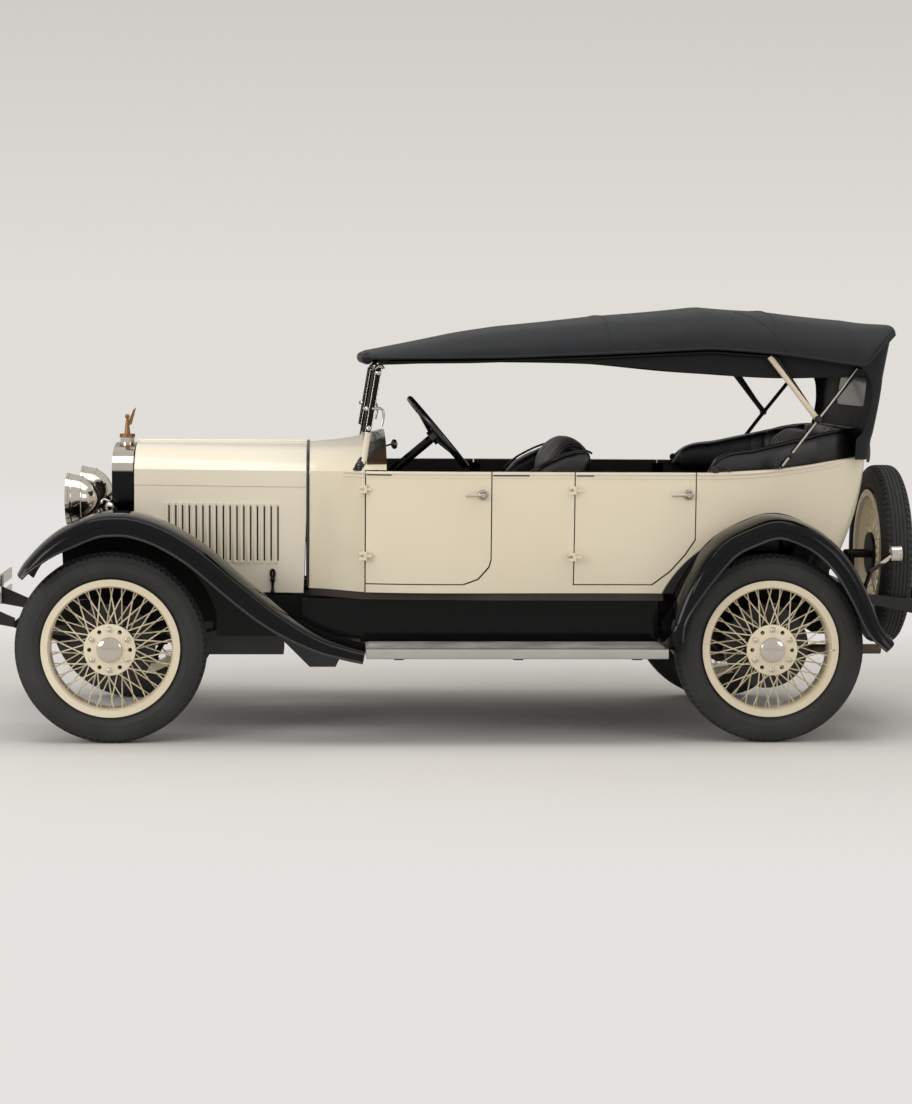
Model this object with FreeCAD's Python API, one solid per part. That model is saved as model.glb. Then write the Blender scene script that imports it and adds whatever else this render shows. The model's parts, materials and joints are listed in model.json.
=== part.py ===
# A 1920s open touring car with wire wheels, a folding bonnet, four front-hinged doors and a raised canopy.
# Millimetres. +Z is up, -X is the front, -Y is the car's left side, and Z 0 is the ground.
# X 0 and Y 0 are the middle of the car's outer box, so the front axle stands at x_front.
import FreeCAD
import Part
import math
import os

V = FreeCAD.Vector

# Driving dimensions
wheelbase = 2770.0
track = 1400.0
front_reach = 600.0
rear_reach = 880.0
tyre_radius = 400.0
tyre_width = 136.0
rim_radius = 289.0
board_top = 404.0
board_inner = 545.0
board_outer = 832.0
frame_bottom = 475.0
frame_height = 115.0
frame_half = 400.0
rail_width = 50.0
sill_bottom = 622.0
belt_height = 1137.0
canopy_half = 690.0
body_wall = 42.0
panel_gap = 5.0
seat_gap = 0.3
overrun = 20.0

overall_length = front_reach + wheelbase + rear_reach
x_front = front_reach - overall_length / 2
x_rear = x_front + wheelbase
axle_height = tyre_radius
wheel_y = track / 2
frame_top = frame_bottom + frame_height

# Places along the body, measured back from the front axle
bonnet_start = 66.0
bonnet_end = 815.0
seam_strip = 7.0
front_door_start = 1061.0
front_door_end = 1592.0
rear_door_start = 1944.0
rear_door_end = 2460.0
tail_reach = 3236.0
tail_foot_reach = 3040.0
dash_reach = 1150.0
bonnet_front = x_front + bonnet_start
bonnet_rear = x_front + bonnet_end
door1_front = x_front + front_door_start
door1_rear = x_front + front_door_end
door2_front = x_front + rear_door_start
door2_rear = x_front + rear_door_end
tail_top = x_front + tail_reach
tail_foot = x_front + tail_foot_reach
dash_x = x_front + dash_reach


# Solids from simple shapes
def block(x0, x1, y0, y1, z0, z1):
    return Part.makeBox(x1 - x0, y1 - y0, z1 - z0, V(x0, y0, z0))


def rod(start, end, radius):
    start = V(*start)
    end = V(*end)
    return Part.makeCylinder(radius, (end - start).Length, start, end - start)


def bar(points, radius):
    pieces = [rod(points[i], points[i + 1], radius) for i in range(len(points) - 1)]
    joints = [Part.makeSphere(radius, V(*point)) for point in points[1:-1]]
    return fuse(pieces + joints)


def fuse(shapes):
    shapes = list(shapes)
    whole = shapes[0]
    if len(shapes) > 1:
        whole = whole.multiFuse(shapes[1:])
    return whole.removeSplitter()


def side_face(outline, y):
    points = [V(x, y, z) for x, z in outline]
    return Part.Face(Part.makePolygon(points + points[:1]))


def side_prism(outline, y0, y1):
    return side_face(outline, y0).extrude(V(0, y1 - y0, 0))


def end_prism(outline, x0, x1):
    points = [V(x0, y, z) for y, z in outline]
    return Part.Face(Part.makePolygon(points + points[:1])).extrude(V(x1 - x0, 0, 0))


def plan_prism(outline, z0, z1):
    points = [V(x, y, z0) for x, y in outline]
    return Part.Face(Part.makePolygon(points + points[:1])).extrude(V(0, 0, z1 - z0))


def spline(points):
    curve = Part.BSplineCurve()
    curve.interpolate([V(*point) for point in points])
    return curve.toShape()


def turned(profile, x, y, z):
    # A solid turned about the Y direction from (radius, distance along Y) points
    points = [V(x + radius, y + along, z) for radius, along in profile]
    face = Part.Face(Part.makePolygon(points + points[:1]))
    return face.revolve(V(x, y, z), V(0, 1, 0), 360)


def mirrored(shape):
    return shape.mirror(V(0, 0, 0), V(0, 1, 0))


def pair(shape):
    return Part.makeCompound([shape, mirrored(shape)])


def save(shape, name):
    shape.exportStep("parts/" + name + ".step")


# Wire wheel and tyre
rim_well = 254.0
rim_half_width = 62.0
rim_sheet = 7.0
hub_flange_radius = 107.0
hub_flange_thickness = 9.0
hub_outer_face = 96.0
hub_inner_face = -40.0
hub_radius = 46.0
hub_bore_radius = 22.0
hub_cap_radius = 50.0
hub_cap_length = 22.0
hub_hole_radius = 9.0
hub_hole_circle = 84.0
hub_hole_count = 12
spoke_size = 5.5
spoke_sets = 15
spoke_lean = math.radians(20)
spoke_sink = 4.0
drum_radius = 178.0
drum_length = 60.0
drum_wall = 8.0
tyre_wall = 12.0
bearing_clearance = 0.05


def rim_profile():
    lip = rim_radius - rim_well
    outside = [(rim_radius, rim_half_width), (rim_well + rim_sheet, rim_half_width),
               (rim_well, rim_half_width - lip / 2), (rim_well, lip / 2 - rim_half_width),
               (rim_well + rim_sheet, -rim_half_width), (rim_radius, -rim_half_width)]
    inside = [(rim_radius, rim_sheet - rim_half_width),
              (rim_well + 2 * rim_sheet, rim_sheet - rim_half_width),
              (rim_well + rim_sheet, lip / 2 - rim_half_width + rim_sheet / 2),
              (rim_well + rim_sheet, rim_half_width - lip / 2 - rim_sheet / 2),
              (rim_well + 2 * rim_sheet, rim_half_width - rim_sheet), (rim_radius,
                                                                       rim_half_width - rim_sheet)]
    return outside + inside


def spoke(hub_radius_at, hub_y, angle, lean, rim_y):
    # One spoke, square in section, from the hub flange to the rim well
    start = V(hub_radius_at * math.cos(angle), hub_y, hub_radius_at * math.sin(angle))
    reach = rim_well + spoke_sink
    end = V(reach * math.cos(angle + lean), rim_y, reach * math.sin(angle + lean))
    along = (end - start).normalize()
    side = along.cross(V(0, 1, 0)).normalize()
    up = along.cross(side)
    half = spoke_size / 2
    corners = [start + side * a * half + up * b * half for a, b in ((1, 0), (0, 1), (-1, 0), (0, -1))]
    return Part.Face(Part.makePolygon(corners + corners[:1])).extrude(end - start)


def wire_wheel():
    # Wheel about its own centre, outer side towards -Y
    rim = turned(rim_profile(), 0, 0, 0)
    flange_y = -hub_outer_face
    cap_step = hub_cap_radius * 0.7
    hub = turned([(hub_bore_radius, -hub_inner_face), (hub_radius, -hub_inner_face),
                  (hub_radius, flange_y / 2), (hub_flange_radius, flange_y + hub_flange_thickness),
                  (hub_flange_radius, flange_y), (hub_cap_radius, flange_y - hub_flange_thickness),
                  (hub_cap_radius, flange_y - hub_cap_length * 0.7), (cap_step, flange_y - hub_cap_length),
                  (0, flange_y - hub_cap_length), (0, flange_y), (hub_bore_radius, flange_y)], 0, 0, 0)
    inner = turned([(hub_radius - overrun, -hub_inner_face), (hub_flange_radius * 0.8, -hub_inner_face),
                    (hub_flange_radius * 0.8, -hub_inner_face - hub_flange_thickness),
                    (hub_radius - overrun, -hub_inner_face - hub_flange_thickness)], 0, 0, 0)
    holes = []
    for i in range(hub_hole_count):
        angle = 2 * math.pi * i / hub_hole_count
        spot = V(hub_hole_circle * math.cos(angle), flange_y - overrun, hub_hole_circle * math.sin(angle))
        holes.append(Part.makeCylinder(hub_hole_radius, overrun + 3 * hub_flange_thickness, spot, V(0, 1, 0)))
    hub = fuse([hub, inner]).cut(Part.makeCompound(holes))
    spokes = []
    rim_spread = rim_half_width / 4
    for i in range(spoke_sets):
        turn = 2 * math.pi * i / spoke_sets
        step = math.pi / spoke_sets
        outer_y = flange_y + hub_flange_thickness / 2
        inner_y = -hub_inner_face - hub_flange_thickness / 2
        at_outer = hub_flange_radius - spoke_sink
        at_inner = hub_flange_radius * 0.8 - spoke_sink
        spokes.append(spoke(at_outer, outer_y, turn, spoke_lean, rim_spread))
        spokes.append(spoke(at_outer, outer_y, turn, -spoke_lean, rim_spread))
        spokes.append(spoke(at_inner, inner_y, turn + step, spoke_lean, -rim_spread))
        spokes.append(spoke(at_inner, inner_y, turn + step, -spoke_lean, -rim_spread))
    return fuse([rim, hub] + spokes)


def tyre():
    half = tyre_width / 2
    shoulder = tyre_radius - half * 0.45
    bead = rim_radius + seat_gap
    seat = rim_half_width - rim_sheet - seat_gap
    points = [(bead, seat), (bead + half * 0.25, half * 0.95), (bead + half * 0.8, half),
              (shoulder, half * 0.86), (tyre_radius - half * 0.12, half * 0.55), (tyre_radius, half * 0.25)]
    mirrored_points = [(radius, -along) for radius, along in reversed(points)]
    bore = [(bead, tyre_wall - seat), (bead + tyre_wall, seat * -0.5), (bead + tyre_wall, seat * 0.5),
            (bead, seat - tyre_wall)]
    return turned(points + mirrored_points + bore, 0, 0, 0)


def brake_drum():
    # Drum on the inner side of the wheel, open towards the car
    start = -hub_inner_face - hub_flange_thickness / 2
    end = start + drum_length
    return turned([(hub_bore_radius, start), (drum_radius, start), (drum_radius, end),
                   (drum_radius - drum_wall, end), (drum_radius - drum_wall, start + drum_wall),
                   (hub_bore_radius, start + drum_wall)], 0, 0, 0)


def wheels():
    wheel = wire_wheel()
    rubber = tyre()
    braked = fuse([wheel, brake_drum()])
    for side, flip in (("left", False), ("right", True)):
        for end, x in (("front", x_front), ("rear", x_rear)):
            place = V(x, -wheel_y, axle_height)
            for shape, name in ((braked, "wheel"), (rubber, "tyre")):
                moved = shape.copy()
                moved.translate(place)
                if flip:
                    moved = mirrored(moved)
                save(moved, name + "_" + end + "_" + side)
    return wheel, rubber


# Front axle, knuckles and steering
kingpin_y = 590.0
kingpin_radius = 13.0
kingpin_half = 62.0
axle_drop = 75.0
beam_height = 62.0
beam_width = 52.0
beam_web = 16.0
beam_knee = 150.0
spindle_radius = hub_bore_radius - bearing_clearance
knuckle_thickness = 26.0
knuckle_boss = 26.0
steering_arm_length = 165.0
steering_arm_radius = 11.0
tie_rod_radius = 12.0
pin_clearance = 0.05
backplate_gap = 6.0
backplate_thickness = 5.0


def beam_outline(low, high):
    knee = kingpin_y - beam_knee
    end = kingpin_y
    head = kingpin_y - knuckle_boss - panel_gap
    return [(-end, high), (-head, high), (-knee, high - axle_drop), (knee, high - axle_drop), (head, high),
            (end, high),
            (end, low), (head, low), (knee, low - axle_drop), (-knee, low - axle_drop), (-head,
                                                                                         low), (-end, low)]


def front_axle():
    low = axle_height - beam_height / 2
    high = axle_height + beam_height / 2
    beam = end_prism(beam_outline(low, high), x_front - beam_width / 2, x_front + beam_width / 2)
    flange = beam_web
    inner_low = low + flange
    inner_high = high - flange
    for start, end in ((-beam_width, -beam_web / 2), (beam_web / 2, beam_width)):
        beam = beam.cut(end_prism(beam_outline(inner_low, inner_high), x_front + start, x_front + end))
    bosses = []
    for side in (-1, 1):
        boss = Part.makeCylinder(knuckle_boss, beam_height, V(x_front, side * kingpin_y, low))
        bosses.append(boss)
    beam = fuse([beam] + bosses)
    foot = axle_height - kingpin_half
    height = 2 * kingpin_half
    pins = [Part.makeCylinder(kingpin_radius, height, V(x_front, side * kingpin_y, foot)) for side in (-1, 1)]
    return fuse([beam] + pins)


def knuckle():
    # Left knuckle: two ears round the kingpin, a spindle out to the wheel and an arm back to the tie rod
    ear_gap = beam_height / 2 + seat_gap
    ears = []
    for start in (ear_gap, -ear_gap - knuckle_thickness):
        ears.append(Part.makeCylinder(knuckle_boss, knuckle_thickness,
                                      V(x_front, -kingpin_y, axle_height + start)))
    plate_y = -kingpin_y - knuckle_boss - panel_gap
    back = block(x_front - knuckle_boss, x_front + knuckle_boss, plate_y - knuckle_thickness / 2, plate_y,
                 axle_height - ear_gap - knuckle_thickness, axle_height + ear_gap + knuckle_thickness)
    links = []
    for start in (ear_gap, -ear_gap - knuckle_thickness):
        links.append(block(x_front - knuckle_boss, x_front + knuckle_boss, plate_y, -kingpin_y,
                           axle_height + start, axle_height + start + knuckle_thickness))
    spindle_end = -wheel_y - hub_outer_face + seat_gap + hub_flange_thickness
    spindle = rod((x_front, plate_y, axle_height), (x_front, spindle_end, axle_height), spindle_radius)
    arm_z = axle_height - ear_gap - knuckle_thickness / 2
    arm_end = (x_front + steering_arm_length, -kingpin_y + steering_arm_length * 0.16, arm_z)
    arm = rod((x_front, -kingpin_y - knuckle_boss / 2, arm_z), arm_end, steering_arm_radius)
    eye = Part.makeCylinder(2 * steering_arm_radius, knuckle_thickness,
                            V(arm_end[0], arm_end[1], arm_z - knuckle_thickness / 2))
    body = fuse(ears + links + [back, spindle, arm, eye])
    bore = Part.makeCylinder(kingpin_radius + pin_clearance, 4 * kingpin_half,
                             V(x_front, -kingpin_y, axle_height - 2 * kingpin_half))
    return body.cut(bore)


def tie_rod():
    arm_z = axle_height - beam_height / 2 - seat_gap - knuckle_thickness / 2
    drop = knuckle_thickness / 2 + seat_gap
    x = x_front + steering_arm_length
    y = kingpin_y - steering_arm_length * 0.16
    z = arm_z - drop - tie_rod_radius
    tube = rod((x, -y, z), (x, y, z), tie_rod_radius)
    eye_height = drop + tie_rod_radius - seat_gap
    ends = [Part.makeCylinder(2 * steering_arm_radius, eye_height, V(x, side * y, arm_z - drop - eye_height))
            for side in (-1, 1)]
    return fuse([tube] + ends)


# Chassis frame
horn_length = 430.0
horn_drop = 28.0
kick_rise = 85.0
kick_start = 430.0
kick_run = 240.0
frame_tail = 470.0
cross_member_width = 90.0
rail_wall = 7.0
bracket_width = 40.0
bracket_depth = 25.0
bracket_places = (1180.0, 1680.0, 2180.0)
middle_cross_place = 1080.0
seat_cross_set_back = 320.0
handle_radius = 10.5
handle_height = 540.0
spring_half = 430.0
spring_camber = 45.0
spring_width = 48.0
front_spring_y = 375.0
rear_spring_y = 470.0


def rail_outline():
    horn = x_front - horn_length
    kick = x_rear - kick_start
    tail = x_rear + frame_tail
    half_horn = frame_height / 2
    top = frame_top + kick_rise
    bottom = frame_bottom + kick_rise
    eye = spring_eye_height(x_front) + seat_gap
    return [(horn - spring_leaf, eye), (horn + half_horn, eye), (x_front - half_horn, frame_bottom),
            (kick, frame_bottom), (kick + kick_run, bottom), (tail, bottom),
            (tail, top - half_horn / 2), (kick + kick_run, top), (kick, frame_top), (x_front, frame_top),
            (horn + half_horn, frame_bottom + half_horn), (horn - spring_leaf, frame_bottom)]


def board_bracket(x):
    # Arm from the left rail down and out under the running board
    low = board_top - board_thickness - seat_gap
    outline = [(-frame_half, frame_bottom + bracket_depth), (-frame_half, frame_bottom),
               (bracket_depth - board_inner, low - bracket_depth), (board_thickness - board_outer,
                                                                    low - bracket_depth / 2),
               (board_thickness - board_outer, low), (bracket_depth - board_inner, low)]
    return end_prism(outline, x, x + bracket_width)


def spring_hangers():
    # Blocks on the left rail that carry the ends of the springs
    found = []
    low = spring_eye_height(x_front) + seat_gap
    x = x_front + spring_half - bracket_width / 2
    found.append(block(x, x + bracket_width, -frame_half, rail_width - frame_half, low,
                       frame_bottom + bracket_depth))
    low = spring_eye_height(x_rear) + seat_gap
    for side in (-1, 1):
        x = x_rear + side * spring_half - bracket_width / 2
        high = frame_top + max(side, 0) * kick_rise / 2
        found.append(block(x, x + bracket_width, -rear_spring_y - spring_width / 2, rail_wall - frame_half,
                           low, high))
    return found


def chassis_frame():
    rail = side_prism(rail_outline(), -frame_half, rail_width - frame_half)
    start = x_front + frame_height
    end = x_rear - kick_start - frame_height
    channel = block(start, end, rail_wall - frame_half, rail_width - frame_half + overrun,
                    frame_bottom + rail_wall, frame_top - rail_wall)
    rail = rail.cut(channel)
    arms = [board_bracket(x_front + place) for place in bracket_places]
    rail = fuse([rail] + arms + spring_hangers())
    pieces = [rail, mirrored(rail)]
    half_height = frame_height / 2
    places = ((x_front - 2 * cross_member_width / 3, 0, frame_height),
              (x_front + middle_cross_place, 0, half_height),
              (x_rear - kick_start - seat_cross_set_back, 0, half_height),
              (x_rear + 2 * cross_member_width, kick_rise, half_height),
              (x_rear + frame_tail - cross_member_width, kick_rise, half_height))
    inner = frame_half - rail_wall
    for x, rise, height in places:
        pieces.append(block(x, x + cross_member_width, -inner, inner,
                            frame_bottom + rise + rail_wall, frame_bottom + rise + height))
    front = x_front - cross_member_width
    handle_bore = rod((front, 0, handle_height), (front + 2 * cross_member_width, 0, handle_height),
                      handle_radius)
    return fuse(pieces).cut(handle_bore)


# Springs
spring_leaf = 9.0
spring_leaves = 5
axle_tube_radius = 42.0


def spring_foot(x):
    # Height of the spring's lowest leaf on its axle
    if x == x_front:
        return axle_height + beam_height / 2 - axle_drop + seat_gap
    return axle_height + axle_tube_radius + seat_gap


def spring_eye_height(x):
    return spring_foot(x) + spring_leaves * spring_leaf + spring_camber


def leaf_spring(x, y):
    # A stack of arched leaves, each shorter than the one above it
    leaves = []
    top = spring_foot(x) + spring_leaves * spring_leaf
    for i in range(spring_leaves):
        share = 1 - i / (spring_leaves + 1)
        rise = spring_camber * share * share
        run = spring_half * share
        low = top - (i + 1) * spring_leaf
        top_arc = Part.Arc(V(x - run, y, low + spring_leaf + rise), V(x, y, low + spring_leaf),
                           V(x + run, y, low + spring_leaf + rise)).toShape()
        bottom_arc = Part.Arc(V(x + run, y, low + rise), V(x, y, low), V(x - run, y, low + rise)).toShape()
        end = Part.makeLine(V(x + run, y, low + spring_leaf + rise), V(x + run, y, low + rise))
        start = Part.makeLine(V(x - run, y, low + rise), V(x - run, y, low + spring_leaf + rise))
        face = Part.Face(Part.Wire([top_arc, end, bottom_arc, start]))
        leaves.append(face.extrude(V(0, spring_width, 0)))
    return fuse(leaves)


def springs():
    found = []
    for x, y in ((x_front, front_spring_y), (x_rear, rear_spring_y)):
        for side in (-1, 1):
            found.append(leaf_spring(x, side * y - spring_width / 2))
    return Part.makeCompound(found)


# Rear axle, engine, tank and exhaust
diff_radius = 150.0
torque_tube_radius = 38.0
gearbox_rear = 1010.0
engine_front = 150.0
engine_length = 560.0
engine_half_width = 150.0
engine_top = 1010.0
engine_bottom = 480.0
sump_bottom = 300.0
bell_bottom = 245.0
gearbox_half = 135.0
gearbox_top = 585.0
shaft_height = 430.0
sump_set_back = 90.0
foot_width = 60.0
foot_height = 30.0
foot_shares = (0.12, 0.88)


def rear_axle():
    end = wheel_y + hub_inner_face - drum_length - backplate_gap
    tube = rod((x_rear, -end, axle_height), (x_rear, end, axle_height), axle_tube_radius)
    ball = Part.makeSphere(diff_radius, V(x_rear, 0, axle_height))
    shaft_end = wheel_y + hub_outer_face - hub_flange_thickness - seat_gap
    shaft = rod((x_rear, -shaft_end, axle_height), (x_rear, shaft_end, axle_height), spindle_radius)
    plates = []
    for side in (-1, 1):
        plates.append(rod((x_rear, side * end, axle_height), (x_rear, side * (end + backplate_thickness),
                                                              axle_height),
                          drum_radius * 0.94))
    tunnel = rod((x_front + gearbox_rear + panel_gap, 0, shaft_height), (x_rear, 0, axle_height),
                 torque_tube_radius)
    return fuse([tube, ball, shaft, tunnel] + plates)


def engine():
    front = x_front + engine_front
    rear = front + engine_length
    blockwork = block(front, rear, -engine_half_width, engine_half_width, engine_bottom, engine_top)
    sump = block(front + sump_set_back, rear, overrun - engine_half_width, engine_half_width - overrun,
                 sump_bottom, engine_bottom)
    bell = side_prism([(rear, bell_bottom + frame_height), (rear + frame_height, bell_bottom),
                       (rear + 2 * frame_height, bell_bottom), (x_front + gearbox_rear,
                                                                shaft_height - axle_tube_radius),
                       (x_front + gearbox_rear, gearbox_top), (rear,
                                                               gearbox_top)], -gearbox_half, gearbox_half)
    feet = []
    low = frame_bottom + rail_wall + seat_gap
    reach = frame_half - rail_wall - seat_gap
    for share in foot_shares:
        x = front + engine_length * share - foot_width / 2
        feet.append(block(x, x + foot_width, -reach, reach, low, low + foot_height))
    return fuse([blockwork, sump, bell] + feet)


exhaust_y = 300.0
tail_pipe_y = 450.0
exhaust_z = 385.0
exhaust_radius = 21.0
exhaust_bore = 18.0
muffler_radius = 62.0
strap_width = 25.0
strap_thickness = 6.0
muffler_length = 620.0
muffler_start = 1250.0
exhaust_end = 3306.0
manifold_z = 700.0


def exhaust():
    down = x_front + engine_front + engine_length - overrun
    muffler_x = x_front + muffler_start
    end = x_front + exhaust_end
    over = x_rear - 2 * diff_radius
    side = -tail_pipe_y
    low = exhaust_z - exhaust_radius
    path = [(down, -engine_half_width - seat_gap, manifold_z), (down, -exhaust_y, manifold_z),
            (down + frame_height, -exhaust_y, exhaust_z),
            (over, -exhaust_y, exhaust_z), (x_rear - diff_radius, -exhaust_y,
                                            exhaust_z - 3.5 * exhaust_radius),
            (x_rear + diff_radius, -exhaust_y, exhaust_z - 3.5 * exhaust_radius),
            (end - 2 * diff_radius, side, low), (end, side, low)]
    pipe = bar(path, exhaust_radius)
    muffler = rod((muffler_x, -exhaust_y, exhaust_z), (muffler_x + muffler_length, -exhaust_y, exhaust_z),
                  muffler_radius)
    bore = rod((end - diff_radius, side, low), (end + overrun, side, low), exhaust_bore)
    straps = []
    for x in (muffler_x - 2 * strap_width, muffler_x + muffler_length + strap_width):
        straps.append(block(x, x + strap_width, -exhaust_y - exhaust_radius, -exhaust_y, exhaust_z,
                            frame_bottom - seat_gap))
        straps.append(block(x, x + strap_width, rail_width / 2 - frame_half, -exhaust_y,
                            frame_bottom - seat_gap - strap_thickness, frame_bottom - seat_gap))
    return fuse([pipe, muffler] + straps).cut(bore)


tank_front = 215.0
tank_length = 235.0
tank_half = 330.0
tank_drop = 150.0


def fuel_tank():
    x0 = x_rear + tank_front
    radius = tank_drop / 2
    middle = frame_bottom + kick_rise + rail_wall - seat_gap - radius
    x1 = x0 + tank_length
    core = block(x0 + radius, x1 - radius, -tank_half, tank_half, middle - radius, middle + radius)
    ends = [rod((x, -tank_half, middle), (x, tank_half, middle), radius) for x in (x0 + radius, x1 - radius)]
    return fuse([core] + ends)


# Radiator
shell_front = 30.0
shell_depth = 92.0
shell_half = 285.0
shell_foot_half = 275.0
shell_bottom = frame_top + seat_gap
shell_top = 1232.0
shell_shoulder = 1120.0
shell_rim = 42.0
core_set_back = 30.0
core_depth = 70.0
core_gap = 0.3


def shell_wire(x, inset, drop):
    # Flat-shouldered radiator outline with an arched head
    side = shell_half - inset
    foot = shell_foot_half - inset
    top = shell_top - inset
    shoulder = shell_shoulder - inset * 0.55
    arch = spline([(x, -side, shoulder), (x, -side * 0.86, shoulder + (top - shoulder) * 0.55),
                   (x, -side * 0.5, shoulder + (top - shoulder) * 0.86), (x, 0, top),
                   (x, side * 0.5, shoulder + (top - shoulder) * 0.86),
                   (x, side * 0.86, shoulder + (top - shoulder) * 0.55), (x, side, shoulder)])
    low = shell_bottom + drop
    right = Part.makeLine(V(x, side, shoulder), V(x, foot, low))
    floor_line = Part.makeLine(V(x, foot, low), V(x, -foot, low))
    left = Part.makeLine(V(x, -foot, low), V(x, -side, shoulder))
    return Part.Wire([arch, right, floor_line, left])


def radiator_shell():
    front = x_front - shell_front
    rear = bonnet_front - panel_gap
    outer = Part.Face(shell_wire(front, 0, 0)).extrude(V(rear - front, 0, 0))
    opening = Part.Face(shell_wire(front - overrun, shell_rim,
                                   shell_rim)).extrude(V(rear - front + 2 * overrun, 0, 0))
    neck = Part.makeCylinder(cap_radius * 0.9, shell_rim,
                             V(front + shell_depth / 2, 0, shell_top - shell_rim / 2))
    return fuse([outer.cut(opening), neck])


def radiator_core():
    front = x_front - shell_front + core_set_back
    inset = shell_rim + core_gap
    return Part.Face(shell_wire(front, inset, inset)).extrude(V(core_depth, 0, 0))


cap_radius = 34.0
cap_height = 16.0
mascot_height = 118.0
mascot_base = 13.0


def radiator_cap():
    # Filler cap with a plain winged finial
    x = x_front - shell_front + shell_depth / 2
    z = shell_top + shell_rim / 2
    cap = Part.makeCylinder(cap_radius, cap_height, V(x, 0, z))
    stem = Part.makeCone(mascot_base, mascot_base * 0.45, mascot_height * 0.6, V(x, 0, z + cap_height))
    ball = Part.makeSphere(mascot_base * 0.8, V(x, 0, z + cap_height + mascot_height * 0.65))
    base = z + cap_height + mascot_height * 0.25
    tip = z + cap_height + mascot_height
    wing = side_prism([(x - mascot_base / 2, base), (x + mascot_base * 2, tip - mascot_base),
                       (x + mascot_base * 3, tip),
                       (x + mascot_base * 1.5, base + mascot_base)], -mascot_base / 4, mascot_base / 4)
    return fuse([cap, stem, ball, wing])


# Bonnet
bonnet_sheet = 9.0
bonnet_half_front = 282.0
bonnet_half_rear = 400.0
bonnet_crown = 1238.0
crease_height = 1126.0
hinge_height = 1055.0
bonnet_bottom = 600.0
bonnet_rake = 16.0
hinge_pin = 4.0
hinge_bore = 4.3
hinge_barrel = 8.0
leaf_edge = 9.0
barrel_length = 60.0
barrel_first_share = 0.08
barrel_pitch_share = 0.30
louvre_count = 17
louvre_first = 208.0
louvre_last = 680.0
louvre_low = 728.0
louvre_high = 982.0
louvre_stand = 9.0
louvre_slit = 4.0
seam_pin = 2.0


def leaf_curve(x, half, inset):
    # Upper line of one leaf, from the centre hinge to the crease
    edge = -half + inset
    fall = bonnet_crown - crease_height
    return spline([(x, -leaf_edge, bonnet_crown - inset),
                   (x, edge * 0.45, bonnet_crown - inset - fall * 0.12),
                   (x, edge * 0.82, bonnet_crown - inset - fall * 0.5), (x, edge,
                                                                         crease_height - inset * 0.4)])


def leaf_section(x, half):
    low = hinge_height + panel_gap / 2
    outer = leaf_curve(x, half, 0)
    inner = leaf_curve(x, half, bonnet_sheet)
    crease = V(x, -half, crease_height)
    inner_crease = V(x, bonnet_sheet - half, crease_height - bonnet_sheet * 0.4)
    foot = V(x, -half, low)
    inner_foot = V(x, bonnet_sheet - half, low)
    edges = [outer, Part.makeLine(crease, foot), Part.makeLine(foot, inner_foot),
             Part.makeLine(inner_foot, inner_crease),
             inner, Part.makeLine(V(x, -leaf_edge, bonnet_crown - bonnet_sheet),
                                  V(x, -leaf_edge, bonnet_crown))]
    return Part.Wire(Part.__sortEdges__(edges))


def bonnet_top(first_share):
    # Left top leaf with its barrels round the centre hinge pin
    sheet = Part.makeLoft([leaf_section(bonnet_front, bonnet_half_front),
                           leaf_section(bonnet_rear, bonnet_half_rear)],
                          True, True)
    length = bonnet_rear - bonnet_front
    barrels = []
    bores = []
    for i in range(3):
        x = bonnet_front + length * (first_share + i * barrel_pitch_share)
        barrels.append(rod((x, 0, bonnet_crown), (x + barrel_length, 0, bonnet_crown), hinge_barrel))
        barrels.append(block(x, x + barrel_length, -leaf_edge - hinge_pin, -hinge_bore,
                             bonnet_crown - bonnet_sheet,
                             bonnet_crown))
        bores.append(rod((x - overrun, 0, bonnet_crown), (x + barrel_length + overrun, 0, bonnet_crown),
                         hinge_bore))
    return fuse([sheet] + barrels).cut(Part.makeCompound(bores))


def bonnet_pin():
    # Centre hinge pin from the radiator to the cowl
    return rod((bonnet_front - panel_gap + seat_gap, 0, bonnet_crown),
               (bonnet_rear + 2 * seam_strip, 0, bonnet_crown),
               hinge_pin)


def half_width(x):
    share = (x - bonnet_front) / (bonnet_rear - bonnet_front)
    return bonnet_half_front + (bonnet_half_rear - bonnet_half_front) * share


def bonnet_side():
    # Louvred side leaf on the left
    low = bonnet_bottom
    high = hinge_height - panel_gap / 2
    corners = [(bonnet_front, -half_width(bonnet_front)), (bonnet_rear, -half_width(bonnet_rear)),
               (bonnet_rear, bonnet_sheet - half_width(bonnet_rear)),
               (bonnet_front, bonnet_sheet - half_width(bonnet_front))]
    panel = plan_prism(corners, low, high)
    cutter = side_prism([(bonnet_rear + overrun, high), (bonnet_rear, high), (bonnet_rear - bonnet_rake, low),
                         (bonnet_rear + overrun, low)], -2 * bonnet_half_rear, 0)
    panel = panel.cut(cutter)
    louvres = []
    slits = []
    pitch = (louvre_last - louvre_first) / (louvre_count - 1)
    for i in range(louvre_count):
        x = x_front + louvre_first + i * pitch
        y = -half_width(x)
        louvres.append(Part.makeCylinder(louvre_stand, louvre_high - louvre_low, V(x, y, louvre_low)))
        slits.append(block(x + louvre_slit / 2, x + louvre_slit / 2 + louvre_stand, y - 2 * louvre_stand,
                           y - louvre_slit / 4, louvre_low + louvre_stand, louvre_high - louvre_stand))
    inner = bonnet_sheet / 2
    pin = rod((bonnet_front, inner - half_width(bonnet_front), hinge_height - seam_pin / 4),
              (bonnet_rear, inner - half_width(bonnet_rear), hinge_height - seam_pin / 4), panel_gap / 2)
    return fuse([panel, pin] + louvres).cut(Part.makeCompound(slits))


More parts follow.
